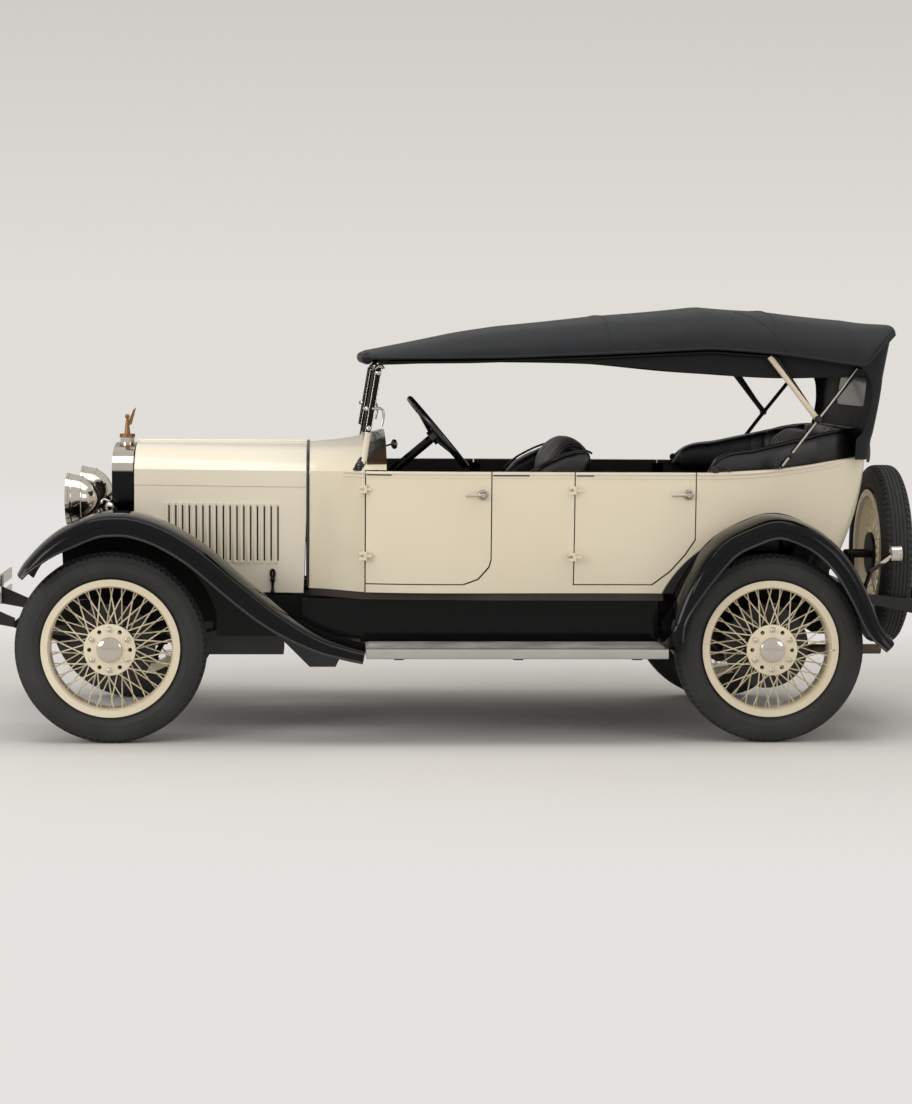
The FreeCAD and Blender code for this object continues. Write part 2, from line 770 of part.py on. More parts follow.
# Body shell, cut into its real panels
body_half = 664.0
scuttle_half = 612.0
rear_half = 612.0
tail_half = 520.0
tuck_under = 34.0
tail_corner = 130.0
belt_rise = 70.0
shell_height = 1290.0
door_swell = 8.0
door_bottom = 659.0
door1_corner_x = 116.0
door1_corner_z = 106.0
door2_arch_z = 852.0
door2_foot = 180.0
tail_bottom = frame_top + kick_rise + panel_gap
wing_clearance = 3.5
scuttle_run = 160.0
door_run = 150.0
quarter_run = 320.0
belt_rise_start = 60.0


def plan_wire(z, inset, tuck, tail):
    # Plan outline of the body at one height
    side = [(door1_front - 2 * overrun, scuttle_half), (door1_front + scuttle_run, body_half - door_swell),
            (door1_rear, body_half), (door2_rear - door_run, body_half - door_swell),
            (door2_rear + quarter_run, rear_half),
            (tail - tail_corner, tail_half)]
    left = [(x, -(half - inset - tuck), z) for x, half in side]
    right = [(x, half - inset - tuck, z) for x, half in reversed(side)]
    tail_x = tail - inset
    near = tail_half - inset - tuck - tail_corner * 0.42
    end = tail_half - inset - tuck - tail_corner * 1.3
    corner_x = tail_x - tail_corner * 0.25
    corner_left = spline([left[-1], (corner_x, -near, z), (tail_x, -end, z)])
    back = Part.makeLine(V(tail_x, -end, z), V(tail_x, end, z))
    corner_right = spline([(tail_x, end, z), (corner_x, near, z), right[0]])
    start = Part.makeLine(V(*right[-1]), V(*left[0]))
    return Part.Wire([spline(left), corner_left, back, corner_right, spline(right), start])


def body_block(inset):
    middle = (sill_bottom + belt_height) / 2
    levels = ((sill_bottom - overrun, tuck_under, tail_foot),
              (middle, tuck_under * 0.12, (tail_foot + tail_top) / 2 + tuck_under),
              (shell_height, 0, tail_top))
    wires = [plan_wire(z, inset, tuck, tail) for z, tuck, tail in levels]
    return Part.makeLoft(wires, True, False)


def belt_outline(x0, x1):
    # Side view of the body between two places, from the sill to the belt line, which rises to the tail
    rise_start = door2_rear + belt_rise_start
    span = tail_top - rise_start
    tops = [(x0, belt_height), (x1, belt_height)]
    if x1 > rise_start:
        tops = [(x0, belt_height), (rise_start, belt_height),
                (rise_start + span * 0.4, belt_height + belt_rise * 0.2),
                (rise_start + span * 0.7, belt_height + belt_rise * 0.55), (x1, belt_height + belt_rise)]
    return [(x0, sill_bottom), (x1, sill_bottom)] + list(reversed(tops))


def door1_outline(gap):
    x0 = door1_front + gap
    x1 = door1_rear - gap
    low = door_bottom + gap
    top = belt_height + overrun + gap
    bend = 0.29
    cx = x1 - door1_corner_x
    cz = low + door1_corner_z
    return [(x0, low), (cx, low), (cx + door1_corner_x * (1 - bend) * 0.75,
                                   low + door1_corner_z * bend * 0.75),
            (x1 - door1_corner_x * bend * 0.25, cz - door1_corner_z * bend), (x1, cz), (x1, top), (x0, top)]


def door2_outline(gap):
    x0 = door2_front + gap
    x1 = door2_rear - gap
    low = door_bottom + gap
    top = belt_height + overrun + gap
    foot = x1 - door2_foot
    rise = door2_arch_z - door_bottom
    return [(x0, low), (foot, low), (foot + door2_foot * 0.42, low + rise * 0.3),
            (foot + door2_foot * 0.76, low + rise * 0.66), (x1, door2_arch_z + gap), (x1, top), (x0, top)]


def normal_at(points, i):
    # Unit normal of a side-view line at one of its points
    before = points[max(i - 1, 0)]
    after = points[min(i + 1, len(points) - 1)]
    run = math.hypot(after[0] - before[0], after[1] - before[1])
    return -(after[1] - before[1]) / run, (after[0] - before[0]) / run


def offset_line(points, distance):
    moved = []
    for i, (x, z) in enumerate(points):
        across, up = normal_at(points, i)
        moved.append((x + across * distance, z + up * distance))
    return moved


def below_line(points, distance, y0, y1):
    # Solid between the ground and a smooth side-view line moved out by a distance
    line = offset_line(points, distance)
    first, last = line[0], line[-1]
    edges = [spline([(x, y0, z) for x, z in line]), Part.makeLine(V(last[0], y0, last[1]), V(last[0], y0, 0)),
             Part.makeLine(V(last[0], y0, 0), V(first[0], y0, 0)), Part.makeLine(V(first[0], y0, 0),
                                                                                 V(first[0], y0, first[1]))]
    return Part.Face(Part.Wire(edges)).extrude(V(0, y1 - y0, 0))


def wing_cutter():
    # Everything below the rear wings' upper line, out from their inner edges
    return pair(below_line(rear_wing_points(), wing_clearance, -2 * body_half,
                           wing_thickness - rear_wing_inner))


# Door hinges
hinge_radius = 8.0
hinge_pin_radius = 3.0
hinge_pin_bore = 3.3
hinge_length = 34.0
hinge_leaf = 26.0
hinge_reach = 44.0
hinge_stand = 4.0
hinge_heights = (780.0, 1062.0)
hinge_slit = 0.5


def door_hinge(x, y, z):
    # Fixed barrels with their pin, and the moving barrel between them
    third = hinge_length / 3
    fixed = [Part.makeCylinder(hinge_pin_radius, hinge_length, V(x, y, z - hinge_length / 2))]
    for low in (z - hinge_length / 2, z + third / 2):
        fixed.append(Part.makeCylinder(hinge_radius, third - hinge_slit, V(x, y, low + hinge_slit / 2)))
        fixed.append(block(x - hinge_leaf, x, y - hinge_pin_radius, y + hinge_reach, low + hinge_slit / 2,
                           low + third - hinge_slit / 2))
    low = z - third / 2 + hinge_slit / 2
    high = z + third / 2 - hinge_slit / 2
    moving = [Part.makeCylinder(hinge_radius, high - low, V(x, y, low)),
              block(x, x + hinge_leaf, y - hinge_pin_radius, y + hinge_reach, low, high)]
    moving = fuse(moving).cut(Part.makeCylinder(hinge_pin_bore, 2 * hinge_length, V(x, y, z - hinge_length)))
    return fuse(fixed), moving


def hinge_y(x):
    # Pin line outside the left side, clear of the panels it joins
    reach = 2 * body_half
    sides = []
    for z in hinge_heights:
        ray = Part.makeLine(V(x, -reach, z), V(x, 0, z)).common(body_block(0))
        sides.append(ray.BoundBox.YMin)
    return min(sides) - hinge_radius - hinge_stand


def hinged(x, fixed_panel, door):
    fixed_parts = [fixed_panel]
    moving_parts = [door]
    for z in hinge_heights:
        fixed, moving = door_hinge(x, hinge_y(x), z)
        fixed_parts.append(fixed)
        moving_parts.append(moving)
    return fuse(fixed_parts), fuse(moving_parts)


def body_panels():
    wall = body_block(0).cut(body_block(body_wall))
    reach = 2 * body_half
    half_gap = panel_gap / 2
    wings = wing_cutter()
    left_side = block(door1_front - 4 * overrun, tail_top + overrun, -reach, 0, 0, 2 * shell_height)
    left_wall = wall.common(left_side)
    top = block(door1_front - overrun, tail_top, -reach, 0, belt_height, 2 * shell_height)
    doors = []
    for outline in (door1_outline, door2_outline):
        doors.append(left_wall.common(side_prism(outline(half_gap), -reach, 0)).cut(top))
    openings = [side_prism(outline(-half_gap), -reach, 0) for outline in (door1_outline, door2_outline)]
    middle = left_wall.common(side_prism(belt_outline(door1_front + half_gap, door2_rear - half_gap),
                                         -reach, 0))
    middle = middle.cut(Part.makeCompound(openings + [wings]))
    rear_part = block(door2_rear - overrun, tail_top + overrun, -reach, reach, tail_bottom, 2 * shell_height)
    rear = wall.common(rear_part).common(side_prism(belt_outline(door2_rear - half_gap, tail_top + overrun),
                                                    -reach, reach))
    rear = rear.cut(Part.makeCompound([wings, pair(openings[1])]))
    return doors, middle, rear


floor_bottom = frame_top + seat_gap
floor_thickness = sill_bottom - seat_gap - floor_bottom
floor_riser = 130.0
toe_run = 120.0
toe_rise = 190.0
toe_board = 22.0
seat_step = 440.0
floor_inset = 12.0


def floor_pan():
    # Floor boards out to the sills, sloped toe board and the step up over the rear axle
    top = floor_bottom + floor_thickness
    wide = body_half - tuck_under - floor_inset
    step = x_rear - seat_step
    outline = [(bonnet_rear + seam_strip, bonnet_half_rear - floor_inset),
               (door1_front, scuttle_half - tuck_under),
               (door1_rear, wide), (step, wide)]
    outline = outline + [(x, -y) for x, y in reversed(outline)]
    boards = plan_prism(outline, floor_bottom, top)
    start = bonnet_rear + toe_run + 2 * overrun
    half = bonnet_half_rear - 3 * cowl_wall
    toe = side_prism([(start - toe_run, top + toe_rise), (start - toe_run, top + toe_rise - toe_board),
                      (start, floor_bottom),
                      (start + toe_board, floor_bottom)], -half, half)
    end = tail_foot
    raised = side_prism([(step - toe_board, floor_bottom), (step, floor_bottom),
                         (step, floor_bottom + floor_riser),
                         (end, floor_bottom + floor_riser), (end, top + floor_riser),
                         (step - toe_board, top + floor_riser)], -body_half, body_half)
    raised = raised.common(body_block(body_wall + seat_gap)).cut(wing_cutter())
    return fuse([boards, toe, raised])


# Cowl
cowl_wall = 26.0
cowl_top_rear = 1296.0
cowl_top_mid = 1262.0
cowl_swell = 10.0
column_gap = 0.3


def cowl_section(x, half, low_half, top, shoulder, inset, bottom):
    # Closed section across the cowl: an arched top, straight sides and a flat foot
    edge = half - inset
    foot = low_half - inset
    crown = top - inset
    corner = shoulder - inset * 0.5
    rise = crown - corner
    arch = spline([(x, -edge, corner), (x, -edge * 0.84, corner + rise * 0.5),
                   (x, -edge * 0.45, corner + rise * 0.88),
                   (x, 0, crown), (x, edge * 0.45, corner + rise * 0.88), (x, edge * 0.84,
                                                                           corner + rise * 0.5),
                   (x, edge, corner)])
    right = Part.makeLine(V(x, edge, corner), V(x, foot, bottom))
    base = Part.makeLine(V(x, foot, bottom), V(x, -foot, bottom))
    left = Part.makeLine(V(x, -foot, bottom), V(x, -edge, corner))
    return Part.Wire([arch, right, base, left])


def cowl_block(inset, low):
    start = bonnet_rear + seam_strip
    end = door1_front - panel_gap / 2
    length = end - start
    flare = scuttle_half + cowl_swell - bonnet_half_rear
    rise = cowl_top_mid + cowl_swell - bonnet_crown
    lift = belt_height - crease_height
    stations = ((0, 0, 0, 0), (0.35, 0.24, 0.2, 0.25), (0.7, 0.63, 0.55, 0.53), (1, 1, 0.85, 1))
    wires = []
    for along, wide, foot, up in stations:
        wires.append(cowl_section(start + length * along, bonnet_half_rear + flare * wide,
                                  bonnet_half_rear + flare * foot,
                                  bonnet_crown + rise * up, crease_height + lift * up, inset, low))
    return Part.makeLoft(wires, True, False)


def dash_hood(inset, lower):
    # The arched hood over the instruments, behind the cowl's sides
    half = scuttle_half + cowl_swell
    start = door1_front - panel_gap / 2
    reach = 0
    if inset > 0:
        reach = overrun
    first = cowl_section(start - reach, half, half, cowl_top_mid + cowl_swell, belt_height, inset,
                         belt_height - lower)
    last = cowl_section(dash_x + reach, half, half, cowl_top_rear, belt_height, inset, belt_height - lower)
    return Part.makeLoft([first, last], True, True)


def column_hole(radius):
    hub = V(x_front + steer_hub_x, steer_y, steer_hub_z)
    return Part.makeCylinder(radius, 2 * column_length, hub, steer_axis())


def cowl():
    shell = cowl_block(0, sill_bottom).cut(cowl_block(cowl_wall, sill_bottom - overrun))
    start = bonnet_rear + seam_strip
    bulkhead = Part.Face(cowl_section(start, bonnet_half_rear, bonnet_half_rear, bonnet_crown, crease_height,
                                      cowl_wall / 2, sill_bottom)).extrude(V(cowl_wall / 2, 0, 0))
    half = scuttle_half + cowl_swell
    rim = dash_hood(0, cowl_wall).cut(dash_hood(cowl_wall, 3 * cowl_wall))
    rim = rim.cut(block(door1_front - half, dash_x + half, -2 * half, 2 * half, 0, belt_height + panel_gap))
    whole = fuse([shell, bulkhead, rim, bonnet_pin()])
    return whole.cut(column_hole(column_radius + column_gap))


panel_drop = 150.0
panel_thickness = 10.0


def instrument_panel():
    x = dash_x - 2 * overrun
    slab = block(x - panel_thickness, x, -body_half, body_half, belt_height + panel_gap - panel_drop,
                 2 * belt_height)
    inner = dash_hood(cowl_wall + seat_gap, panel_drop)
    panel = slab.common(inner)
    wings = block(x - 2 * panel_thickness, x + panel_thickness, scuttle_half - 2 * cowl_wall, body_half, 0,
                  belt_height + panel_gap)
    return panel.cut(pair(wings)).cut(column_hole(column_radius + column_gap))


# Wings
wing_thickness = 7.0
front_wing_tip = 354.0
front_wing_end = 1062.0
front_wing_rise = 563.0
front_wing_shares = ((0.0, 0.588), (0.052, 0.771), (0.110, 0.881), (0.197, 0.980), (0.284, 1.0),
                     (0.400, 0.927),
                     (0.516, 0.758), (0.631, 0.517), (0.748, 0.281), (0.865, 0.103), (0.953, 0.03), (1.0,
                                                                                                     0.0))
rear_wing_inner = 527.0
front_wing_inner = 553.0
rear_wing_start = 2325.0
rear_wing_end = 3296.0
rear_wing_rise = 559.0
rear_wing_shares = ((0.0, 0.0), (0.014, 0.225), (0.091, 0.526), (0.217, 0.812), (0.346, 0.939), (0.476, 1.0),
                    (0.651, 0.903), (0.783, 0.708), (0.873, 0.454), (0.941, 0.190), (1.0, 0.054))
wing_lip = 58.0
wing_section_shares = ((0.0, -0.16), (0.22, -0.02), (0.5, 0.0), (0.76, -0.10), (0.93, -0.32),
                       (0.99, -0.66), (1.0, -1.0))


def wing(points, inner, outer):
    # A loft of crowned sheet sections set square to the wing's side profile
    wires = []
    for i, (x, z) in enumerate(points):
        normal = normal_at(points, i)
        rows = []
        for depth in (0, wing_thickness):
            row = []
            for share, drop in wing_section_shares:
                y = -(inner + (outer - inner) * share)
                if share > 0.9:
                    y += depth
                shift = drop * wing_lip - depth
                if drop == -1.0:
                    shift = drop * wing_lip
                row.append((x + normal[0] * shift, y, z + normal[1] * shift))
            rows.append(row)
        top = spline(rows[0])
        under = spline(list(reversed(rows[1])))
        lip = Part.makeLine(V(*rows[0][-1]), V(*rows[1][-1]))
        root = Part.makeLine(V(*rows[1][0]), V(*rows[0][0]))
        wires.append(Part.Wire([top, lip, under, root]))
    return Part.makeLoft(wires, True, False)


def front_wing_points():
    tip = x_front - front_wing_tip
    length = front_wing_end + front_wing_tip
    return [(tip + length * along, board_top + front_wing_rise * up) for along, up in front_wing_shares]


def rear_wing_points():
    start = x_front + rear_wing_start
    length = rear_wing_end - rear_wing_start
    return [(start + length * along, board_top + rear_wing_rise * up) for along, up in rear_wing_shares]


def rear_wing():
    # The rear wing with its front end cut square to meet the running board
    start = x_front + rear_wing_start
    whole = wing(rear_wing_points(), rear_wing_inner, board_outer)
    return whole.cut(block(start - 2 * overrun, start + seat_gap, -2 * board_outer, 0, 0,
                           board_top + rear_wing_rise))


# Running boards and valances
board_thickness = 34.0
valance_sheet = 6.0
skirt_start = 432.0
skirt_bottom = 430.0


def running_board():
    start = x_front + front_wing_end + seat_gap
    end = x_front + rear_wing_start - seat_gap
    plate = block(start, end, -board_outer, -board_inner, board_top - board_thickness, board_top)
    edge_radius = board_thickness / 2
    nose = rod((start, -board_outer, board_top - edge_radius),
               (end, -board_outer, board_top - edge_radius), edge_radius)
    hollow = block(start + board_thickness, end - board_thickness, -board_outer + board_thickness,
                   -board_inner - board_thickness, board_top - board_thickness - overrun,
                   board_top - valance_sheet * 2)
    return fuse([plate, nose]).cut(hollow)


def valance():
    # Apron between the board and the floor, carried forward under the front wing as its inner skirt
    y0 = seat_gap - board_inner
    high = floor_bottom - seat_gap
    start = x_front + skirt_start
    joint = x_front + front_wing_end
    end = x_front + rear_wing_start - wing_thickness
    apron = block(joint - overrun, end, y0, y0 + valance_sheet, board_top, high)
    skirt = block(start, joint, y0, y0 + valance_sheet, skirt_bottom, board_top + front_wing_rise)
    skirt = skirt.common(below_line(front_wing_points(), -wing_thickness - seat_gap, y0 - overrun,
                                    y0 + overrun))
    corner = block(bonnet_rear - overrun, joint - overrun, y0, y0 + valance_sheet, skirt_bottom, high)
    return fuse([apron, skirt, corner])


# Windscreen
post_foot_x = 1045.0
post_head_x = 1117.0
post_foot_z = 1140.0
post_head_z = 1571.0
post_y = 575.0
post_width = 22.0
post_depth = 20.0
glass_thickness = 6.0
pane_split = 1372.0


def screen_x(z):
    share = (z - post_foot_z) / (post_head_z - post_foot_z)
    return x_front + post_foot_x + (post_head_x - post_foot_x) * share


def screen_bar(z_low, z_high, y0, y1, depth):
    outline = [(screen_x(z_low) - depth / 2, z_low), (screen_x(z_low) + depth / 2, z_low),
               (screen_x(z_high) + depth / 2, z_high), (screen_x(z_high) - depth / 2, z_high)]
    return side_prism(outline, y0, y1)


def cowl_top(lift):
    # Filled cowl and dash hood, raised by a clearance, to trim what stands on them
    return fuse([cowl_block(-lift, sill_bottom), dash_hood(-lift, cowl_wall)])


def windscreen_frame():
    inner = post_y - post_width
    rail = post_width * 0.8
    low_rail = screen_bar(post_foot_z, pane_split - rail, -inner, inner, post_depth).common(cowl_top(rail))
    pieces = [screen_bar(post_foot_z, post_head_z, -post_y, -inner, post_depth),
              screen_bar(post_foot_z, post_head_z, inner, post_y, post_depth),
              screen_bar(post_head_z - rail, post_head_z, -inner, inner, post_depth), low_rail,
              screen_bar(pane_split, pane_split + rail * 0.6, -inner, inner, post_depth)]
    return fuse(pieces).cut(cowl_top(seat_gap))


def windscreen_glass():
    inner = post_y - post_width - seat_gap
    rail = post_width * 0.8
    low = screen_bar(post_foot_z, pane_split - seat_gap, -inner, inner, glass_thickness)
    low = low.cut(cowl_top(rail + seat_gap))
    high = screen_bar(pane_split + rail * 0.6 + seat_gap, post_head_z - rail - seat_gap, -inner, inner,
                      glass_thickness)
    return Part.makeCompound([low, high])


# Steering column and wheel
steer_y = -330.0
steer_hub_x = 1358.0
steer_hub_z = 1272.0
steer_wheel_radius = 190.0
steer_rim = 14.0
steer_tilt = math.radians(40)
column_radius = 19.0
column_length = 700.0


def steer_axis():
    return V(-math.cos(steer_tilt), 0, -math.sin(steer_tilt))


def steering_column():
    hub = V(x_front + steer_hub_x, steer_y, steer_hub_z)
    start = hub + steer_axis() * (steer_rim * 0.9 + seat_gap)
    return Part.makeCylinder(column_radius, column_length, start, steer_axis())


def steering_wheel():
    hub = V(x_front + steer_hub_x, steer_y, steer_hub_z)
    axis = steer_axis() * -1
    rim = Part.makeTorus(steer_wheel_radius, steer_rim, hub + axis * steer_rim * 2, axis)
    boss = Part.makeCylinder(steer_rim * 2.4, steer_rim * 2.4, hub - axis * steer_rim * 0.9, axis)
    side = V(0, 1, 0)
    up = axis.cross(side)
    arms = []
    for i in range(4):
        angle = math.pi / 4 + i * math.pi / 2
        reach = (side * math.cos(angle) + up * math.sin(angle)) * steer_wheel_radius
        arms.append(Part.makeCylinder(steer_rim * 0.62, (reach + axis * steer_rim * 2).Length, hub,
                                      reach + axis * steer_rim * 2))
    return fuse([rim, boss] + arms)


# Seats
seat_half = 560.0
bolster_width = 95.0
front_seat_start = 1480.0
front_seat_depth = 555.0
front_seat_top = 1298.0
rear_seat_start = 2420.0
rear_seat_depth = 730.0
rear_seat_top = 1316.0
rear_seat_inset = 40.0
front_cushion_shares = ((0.0, 0.0), (0.757, 0.0), (0.757, 0.41), (0.144, 0.478), (0.036, 0.463), (0.0, 0.41))
front_back_shares = ((0.72, 0.0), (0.865, 0.0), (0.959, 0.71), (1.0, 0.877), (0.968, 0.929), (0.852, 0.99),
                     (0.737, 1.0),
                     (0.665, 0.95), (0.612, 0.41))
front_bolster_shares = ((0.339, 0.40), (0.339, 0.781), (0.431, 0.843), (0.582, 0.951), (0.737, 1.0),
                        (0.80, 0.97),
                        (0.80, 0.40))
rear_cushion_shares = ((0.0, 0.0), (0.63, 0.0), (0.63, 0.31), (0.12, 0.37), (0.03, 0.35), (0.0, 0.30))
rear_back_shares = ((0.58, 0.0), (0.80, 0.0), (1.0, 0.88), (1.0, 0.98), (0.95, 1.0), (0.83, 1.0),
                    (0.74, 0.92),
                    (0.58, 0.34))
roll_inset = 70.0
roll_width = 85.0
roll_start = 2519.0
roll_reach = 700.0
roll_low = 1080.0
roll_rise = 246.0
roll_shares = ((0.0, 0.0), (0.0, 0.28), (0.049, 0.455), (0.304, 0.646), (0.547, 0.805), (0.79, 0.963),
               (0.9, 1.0),
               (1.0, 1.0), (1.0, 0.0))


def shared(start, depth, base, height, shares):
    return [(start + depth * along, base + height * up) for along, up in shares]


def front_seat():
    # Bench with its leaning back and the bolsters that sweep forward at both ends
    start = x_front + front_seat_start
    base = floor_bottom + floor_thickness + seat_gap
    height = front_seat_top - base
    pieces = []
    for shares in (front_cushion_shares, front_back_shares):
        pieces.append(side_prism(shared(start, front_seat_depth, base, height, shares), -seat_half,
                                 seat_half))
    bolster = shared(start, front_seat_depth, base, height, front_bolster_shares)
    for y in (-seat_half, seat_half - bolster_width):
        pieces.append(side_prism(bolster, y, y + bolster_width))
    return fuse(pieces).common(body_block(body_wall + seat_gap))


def rear_seat():
    # Bench, its back and the padded roll that runs round the tail on top of the body
    start = x_front + rear_seat_start
    base = floor_bottom + floor_riser + floor_thickness + seat_gap
    height = rear_seat_top - base
    half = seat_half - rear_seat_inset
    pieces = []
    for shares in (rear_cushion_shares, rear_back_shares):
        pieces.append(side_prism(shared(start, rear_seat_depth, base, height, shares), -half, half))
    bench = fuse(pieces).common(fuse([body_block(body_wall + seat_gap), tail_roll(roll_inset)]))
    roll = tail_roll(roll_inset).cut(tail_roll(roll_inset + roll_width))
    outline = shared(x_front + roll_start, roll_reach, roll_low, roll_rise, roll_shares)
    roll = roll.common(side_prism(outline, -2 * body_half, 2 * body_half))
    return fuse([bench, roll])


def tail_roll(inset):
    return Part.Face(plan_wire(roll_low, inset, 0, tail_top)).extrude(V(0, 0, 2 * roll_rise))


# Canopy and its irons
canopy_sheet = 14.0
header_depth = 90.0
header_half = 660.0
canopy_front = 1043.0
canopy_rear = 3292.0
canopy_peak = 1845.0
canopy_eave = 1617.0
eave_rise = 51.0
canopy_shares = ((0.0, 0.06, 0.0, 0.96), (0.0084, 0.12, 0.0, 0.98), (0.0756, 0.263, 0.02, 1.0),
                 (0.172, 0.46, 0.08, 1.0), (0.2686, 0.618, 0.16, 1.0), (0.4615, 0.82, 0.53, 1.0),
                 (0.6558, 1.0, 1.0, 1.0), (0.7728, 0.934, 0.66, 1.0), (0.9457, 0.76, -0.39, 1.0),
                 (1.0, 0.69, 2.27, 0.985))
canopy_section_shares = ((1.0, 0.0), (0.988, 0.22), (0.94, 0.52), (0.82, 0.79), (0.5, 0.95), (0.0, 1.0))
band_thickness = 8.0
band_drop = 66.0
band_front = 70.0
band_rear = 2125.0
band_shares = ((0.0, 0.50), (0.22, 0.29), (0.453, 0.42), (0.665, 1.0), (0.81, 1.2), (1.0, 0.9))
curtain_foot_x = 3250.0
curtain_foot_z = 1192.0
curtain_top_x = 3296.0
curtain_foot_half = 548.0
curtain_top_half = 682.0
curtain_corner = 90.0
curtain_run = 200.0
flap_line_shares = ((0.0, -0.5), (0.0, 0.15), (0.11, 0.22), (0.21, 0.41), (0.28, 0.68), (0.23, 0.92),
                    (0.0, 1.09),
                    (-0.6, 1.09), (-0.6, -0.5))
flap_x = 3160.0
flap_low = 1230.0
flap_rise = 330.0
window_half = 300.0
window_low = 1413.0
window_high = 1541.0


def canopy_at(along):
    # Crown height, eave height and half width of the canopy at one share of its length
    for first, last in zip(canopy_shares, canopy_shares[1:]):
        if along <= last[0]:
            share = (along - first[0]) / (last[0] - first[0])
            crown, eave, wide = [first[k] + (last[k] - first[k]) * share for k in (1, 2, 3)]
            height = canopy_eave + (canopy_peak - canopy_eave) * crown
            return height, canopy_eave + eave_rise * eave, canopy_half * wide
    return canopy_at(1.0)


def canopy_arch(x, along, inset):
    crown, eave, half = canopy_at(along)
    rise = crown - inset - eave
    side = [(x, -(half - inset) * across, eave + rise * up) for across, up in canopy_section_shares]
    return side + [(x, -y, z) for x, y, z in reversed(side[:-1])]


def canopy_loft(inset, lift):
    # Solid under the canopy's outer face, or over it where a lift is given
    wires = []
    length = canopy_rear - canopy_front
    for share in canopy_shares:
        x = x_front + canopy_front + length * share[0]
        points = canopy_arch(x, share[0], inset)
        close = lift
        if inset > 0:
            close = -overrun
        ends = [V(*points[-1]), V(x, points[-1][1], points[-1][2] + close),
                V(x, points[0][1], points[0][2] + close),
                V(*points[0])]
        edges = [spline(points)]
        if close != 0:
            edges += [Part.makeLine(ends[0], ends[1]), Part.makeLine(ends[1], ends[2]),
                      Part.makeLine(ends[2], ends[3])]
        else:
            edges.append(Part.makeLine(ends[0], ends[3]))
        wires.append(Part.Wire(edges))
    return Part.makeLoft(wires, True, True)


def canopy_band():
    # Strip that hangs inside the edge of each side
    length = canopy_rear - canopy_front
    start = x_front + canopy_front + band_front
    low = [(start + band_rear * along, canopy_eave - band_drop * drop) for along, drop in band_shares]
    high = []
    for x, z in low:
        share = (x - x_front - canopy_front) / length
        high.append((x, canopy_at(share)[1] + overrun))
    y = band_thickness - canopy_half + canopy_sheet / 4
    return pair(side_prism(low + list(reversed(high)), y - band_thickness, y + canopy_sheet / 4))


def curtain_plan(z, rear, half):
    front = rear - curtain_run
    corner = min(half / 2, curtain_corner)
    cut = corner * (1 - math.sqrt(0.5))
    edges = [Part.makeLine(V(front, -half, z), V(rear - corner, -half, z)),
             Part.Arc(V(rear - corner, -half, z), V(rear - cut, cut - half, z),
                      V(rear, corner - half, z)).toShape(),
             Part.makeLine(V(rear, corner - half, z), V(rear, half - corner, z)),
             Part.Arc(V(rear, half - corner, z), V(rear - cut, half - cut, z),
                      V(rear - corner, half, z)).toShape(),
             Part.makeLine(V(rear - corner, half, z), V(front, half, z)),
             Part.makeLine(V(front, half, z), V(front, -half, z))]
    return Part.Wire(edges)


def curtain_block(inset):
    foot = x_front + curtain_foot_x - inset
    top = x_front + curtain_top_x - inset
    wires = [curtain_plan(curtain_foot_z, foot, curtain_foot_half - inset),
             curtain_plan(canopy_peak, top, curtain_top_half - inset)]
    return Part.makeLoft(wires, True, True)


def curtain():
    # Rear curtain with its window, and the flaps that wrap round each side
    wall = curtain_block(0).cut(curtain_block(canopy_sheet))
    open_front = shared(x_front + flap_x, curtain_run, flap_low, flap_rise, flap_line_shares)
    middle = block(x_front + flap_x - 2 * curtain_run, x_front + flap_x, -canopy_half, canopy_half, 0,
                   2 * canopy_peak)
    window = block(x_front + flap_x, x_front + canopy_rear + overrun, -window_half, window_half,
                   window_low, window_high)
    beyond = block(x_front + canopy_rear, x_front + canopy_rear + curtain_run, -canopy_half, canopy_half,
                   canopy_eave, 2 * canopy_peak)
    reach = side_prism(open_front, -canopy_half, canopy_half)
    wall = wall.cut(Part.makeCompound([window])).cut(reach).cut(middle).cut(beyond)
    return wall.cut(canopy_loft(0, canopy_peak)).cut(body_block(-seat_gap))


def canopy():
    cover = canopy_loft(0, 0)
    roof = cover.cut(canopy_loft(canopy_sheet, 0))
    start = x_front + canopy_front + overrun
    header = block(start, start + header_depth, -header_half, header_half, post_head_z + seat_gap,
                   canopy_peak)
    header = header.cut(canopy_loft(0, canopy_peak))
    return fuse([roof, header, curtain(), canopy_band()])


iron_radius = 9.0
iron_y = 655.0
bow_radius = 11.0
iron_pivot_x = 2823.0
iron_pivot_z = 1168.0
iron_joint_x = 2973.0
iron_joint_z = 1364.0
iron_head_x = 3166.0
bow_head_x = 2790.0
rail_drop = 20.0
bow_places = (1500.0, 2081.0, 2518.0)


def canopy_bow(x):
    # Bow that follows the underside of the canopy from one side rail to the other
    length = canopy_rear - canopy_front
    crown, eave, half = canopy_at((x - canopy_front) / length)
    drop = canopy_sheet + bow_radius + panel_gap
    rise = crown - eave - drop
    points = [(x_front + x, -iron_y, eave - rail_drop)]
    for across, up in canopy_section_shares[2:]:
        points.append((x_front + x, -iron_y * across, eave + rise * up))
    points = points + [(x, -y, z) for x, y, z in reversed(points[:-1])]
    return bar(points, bow_radius)


def side_rail_height(x):
    length = canopy_rear - canopy_front
    return canopy_at((x - canopy_front) / length)[1] - rail_drop


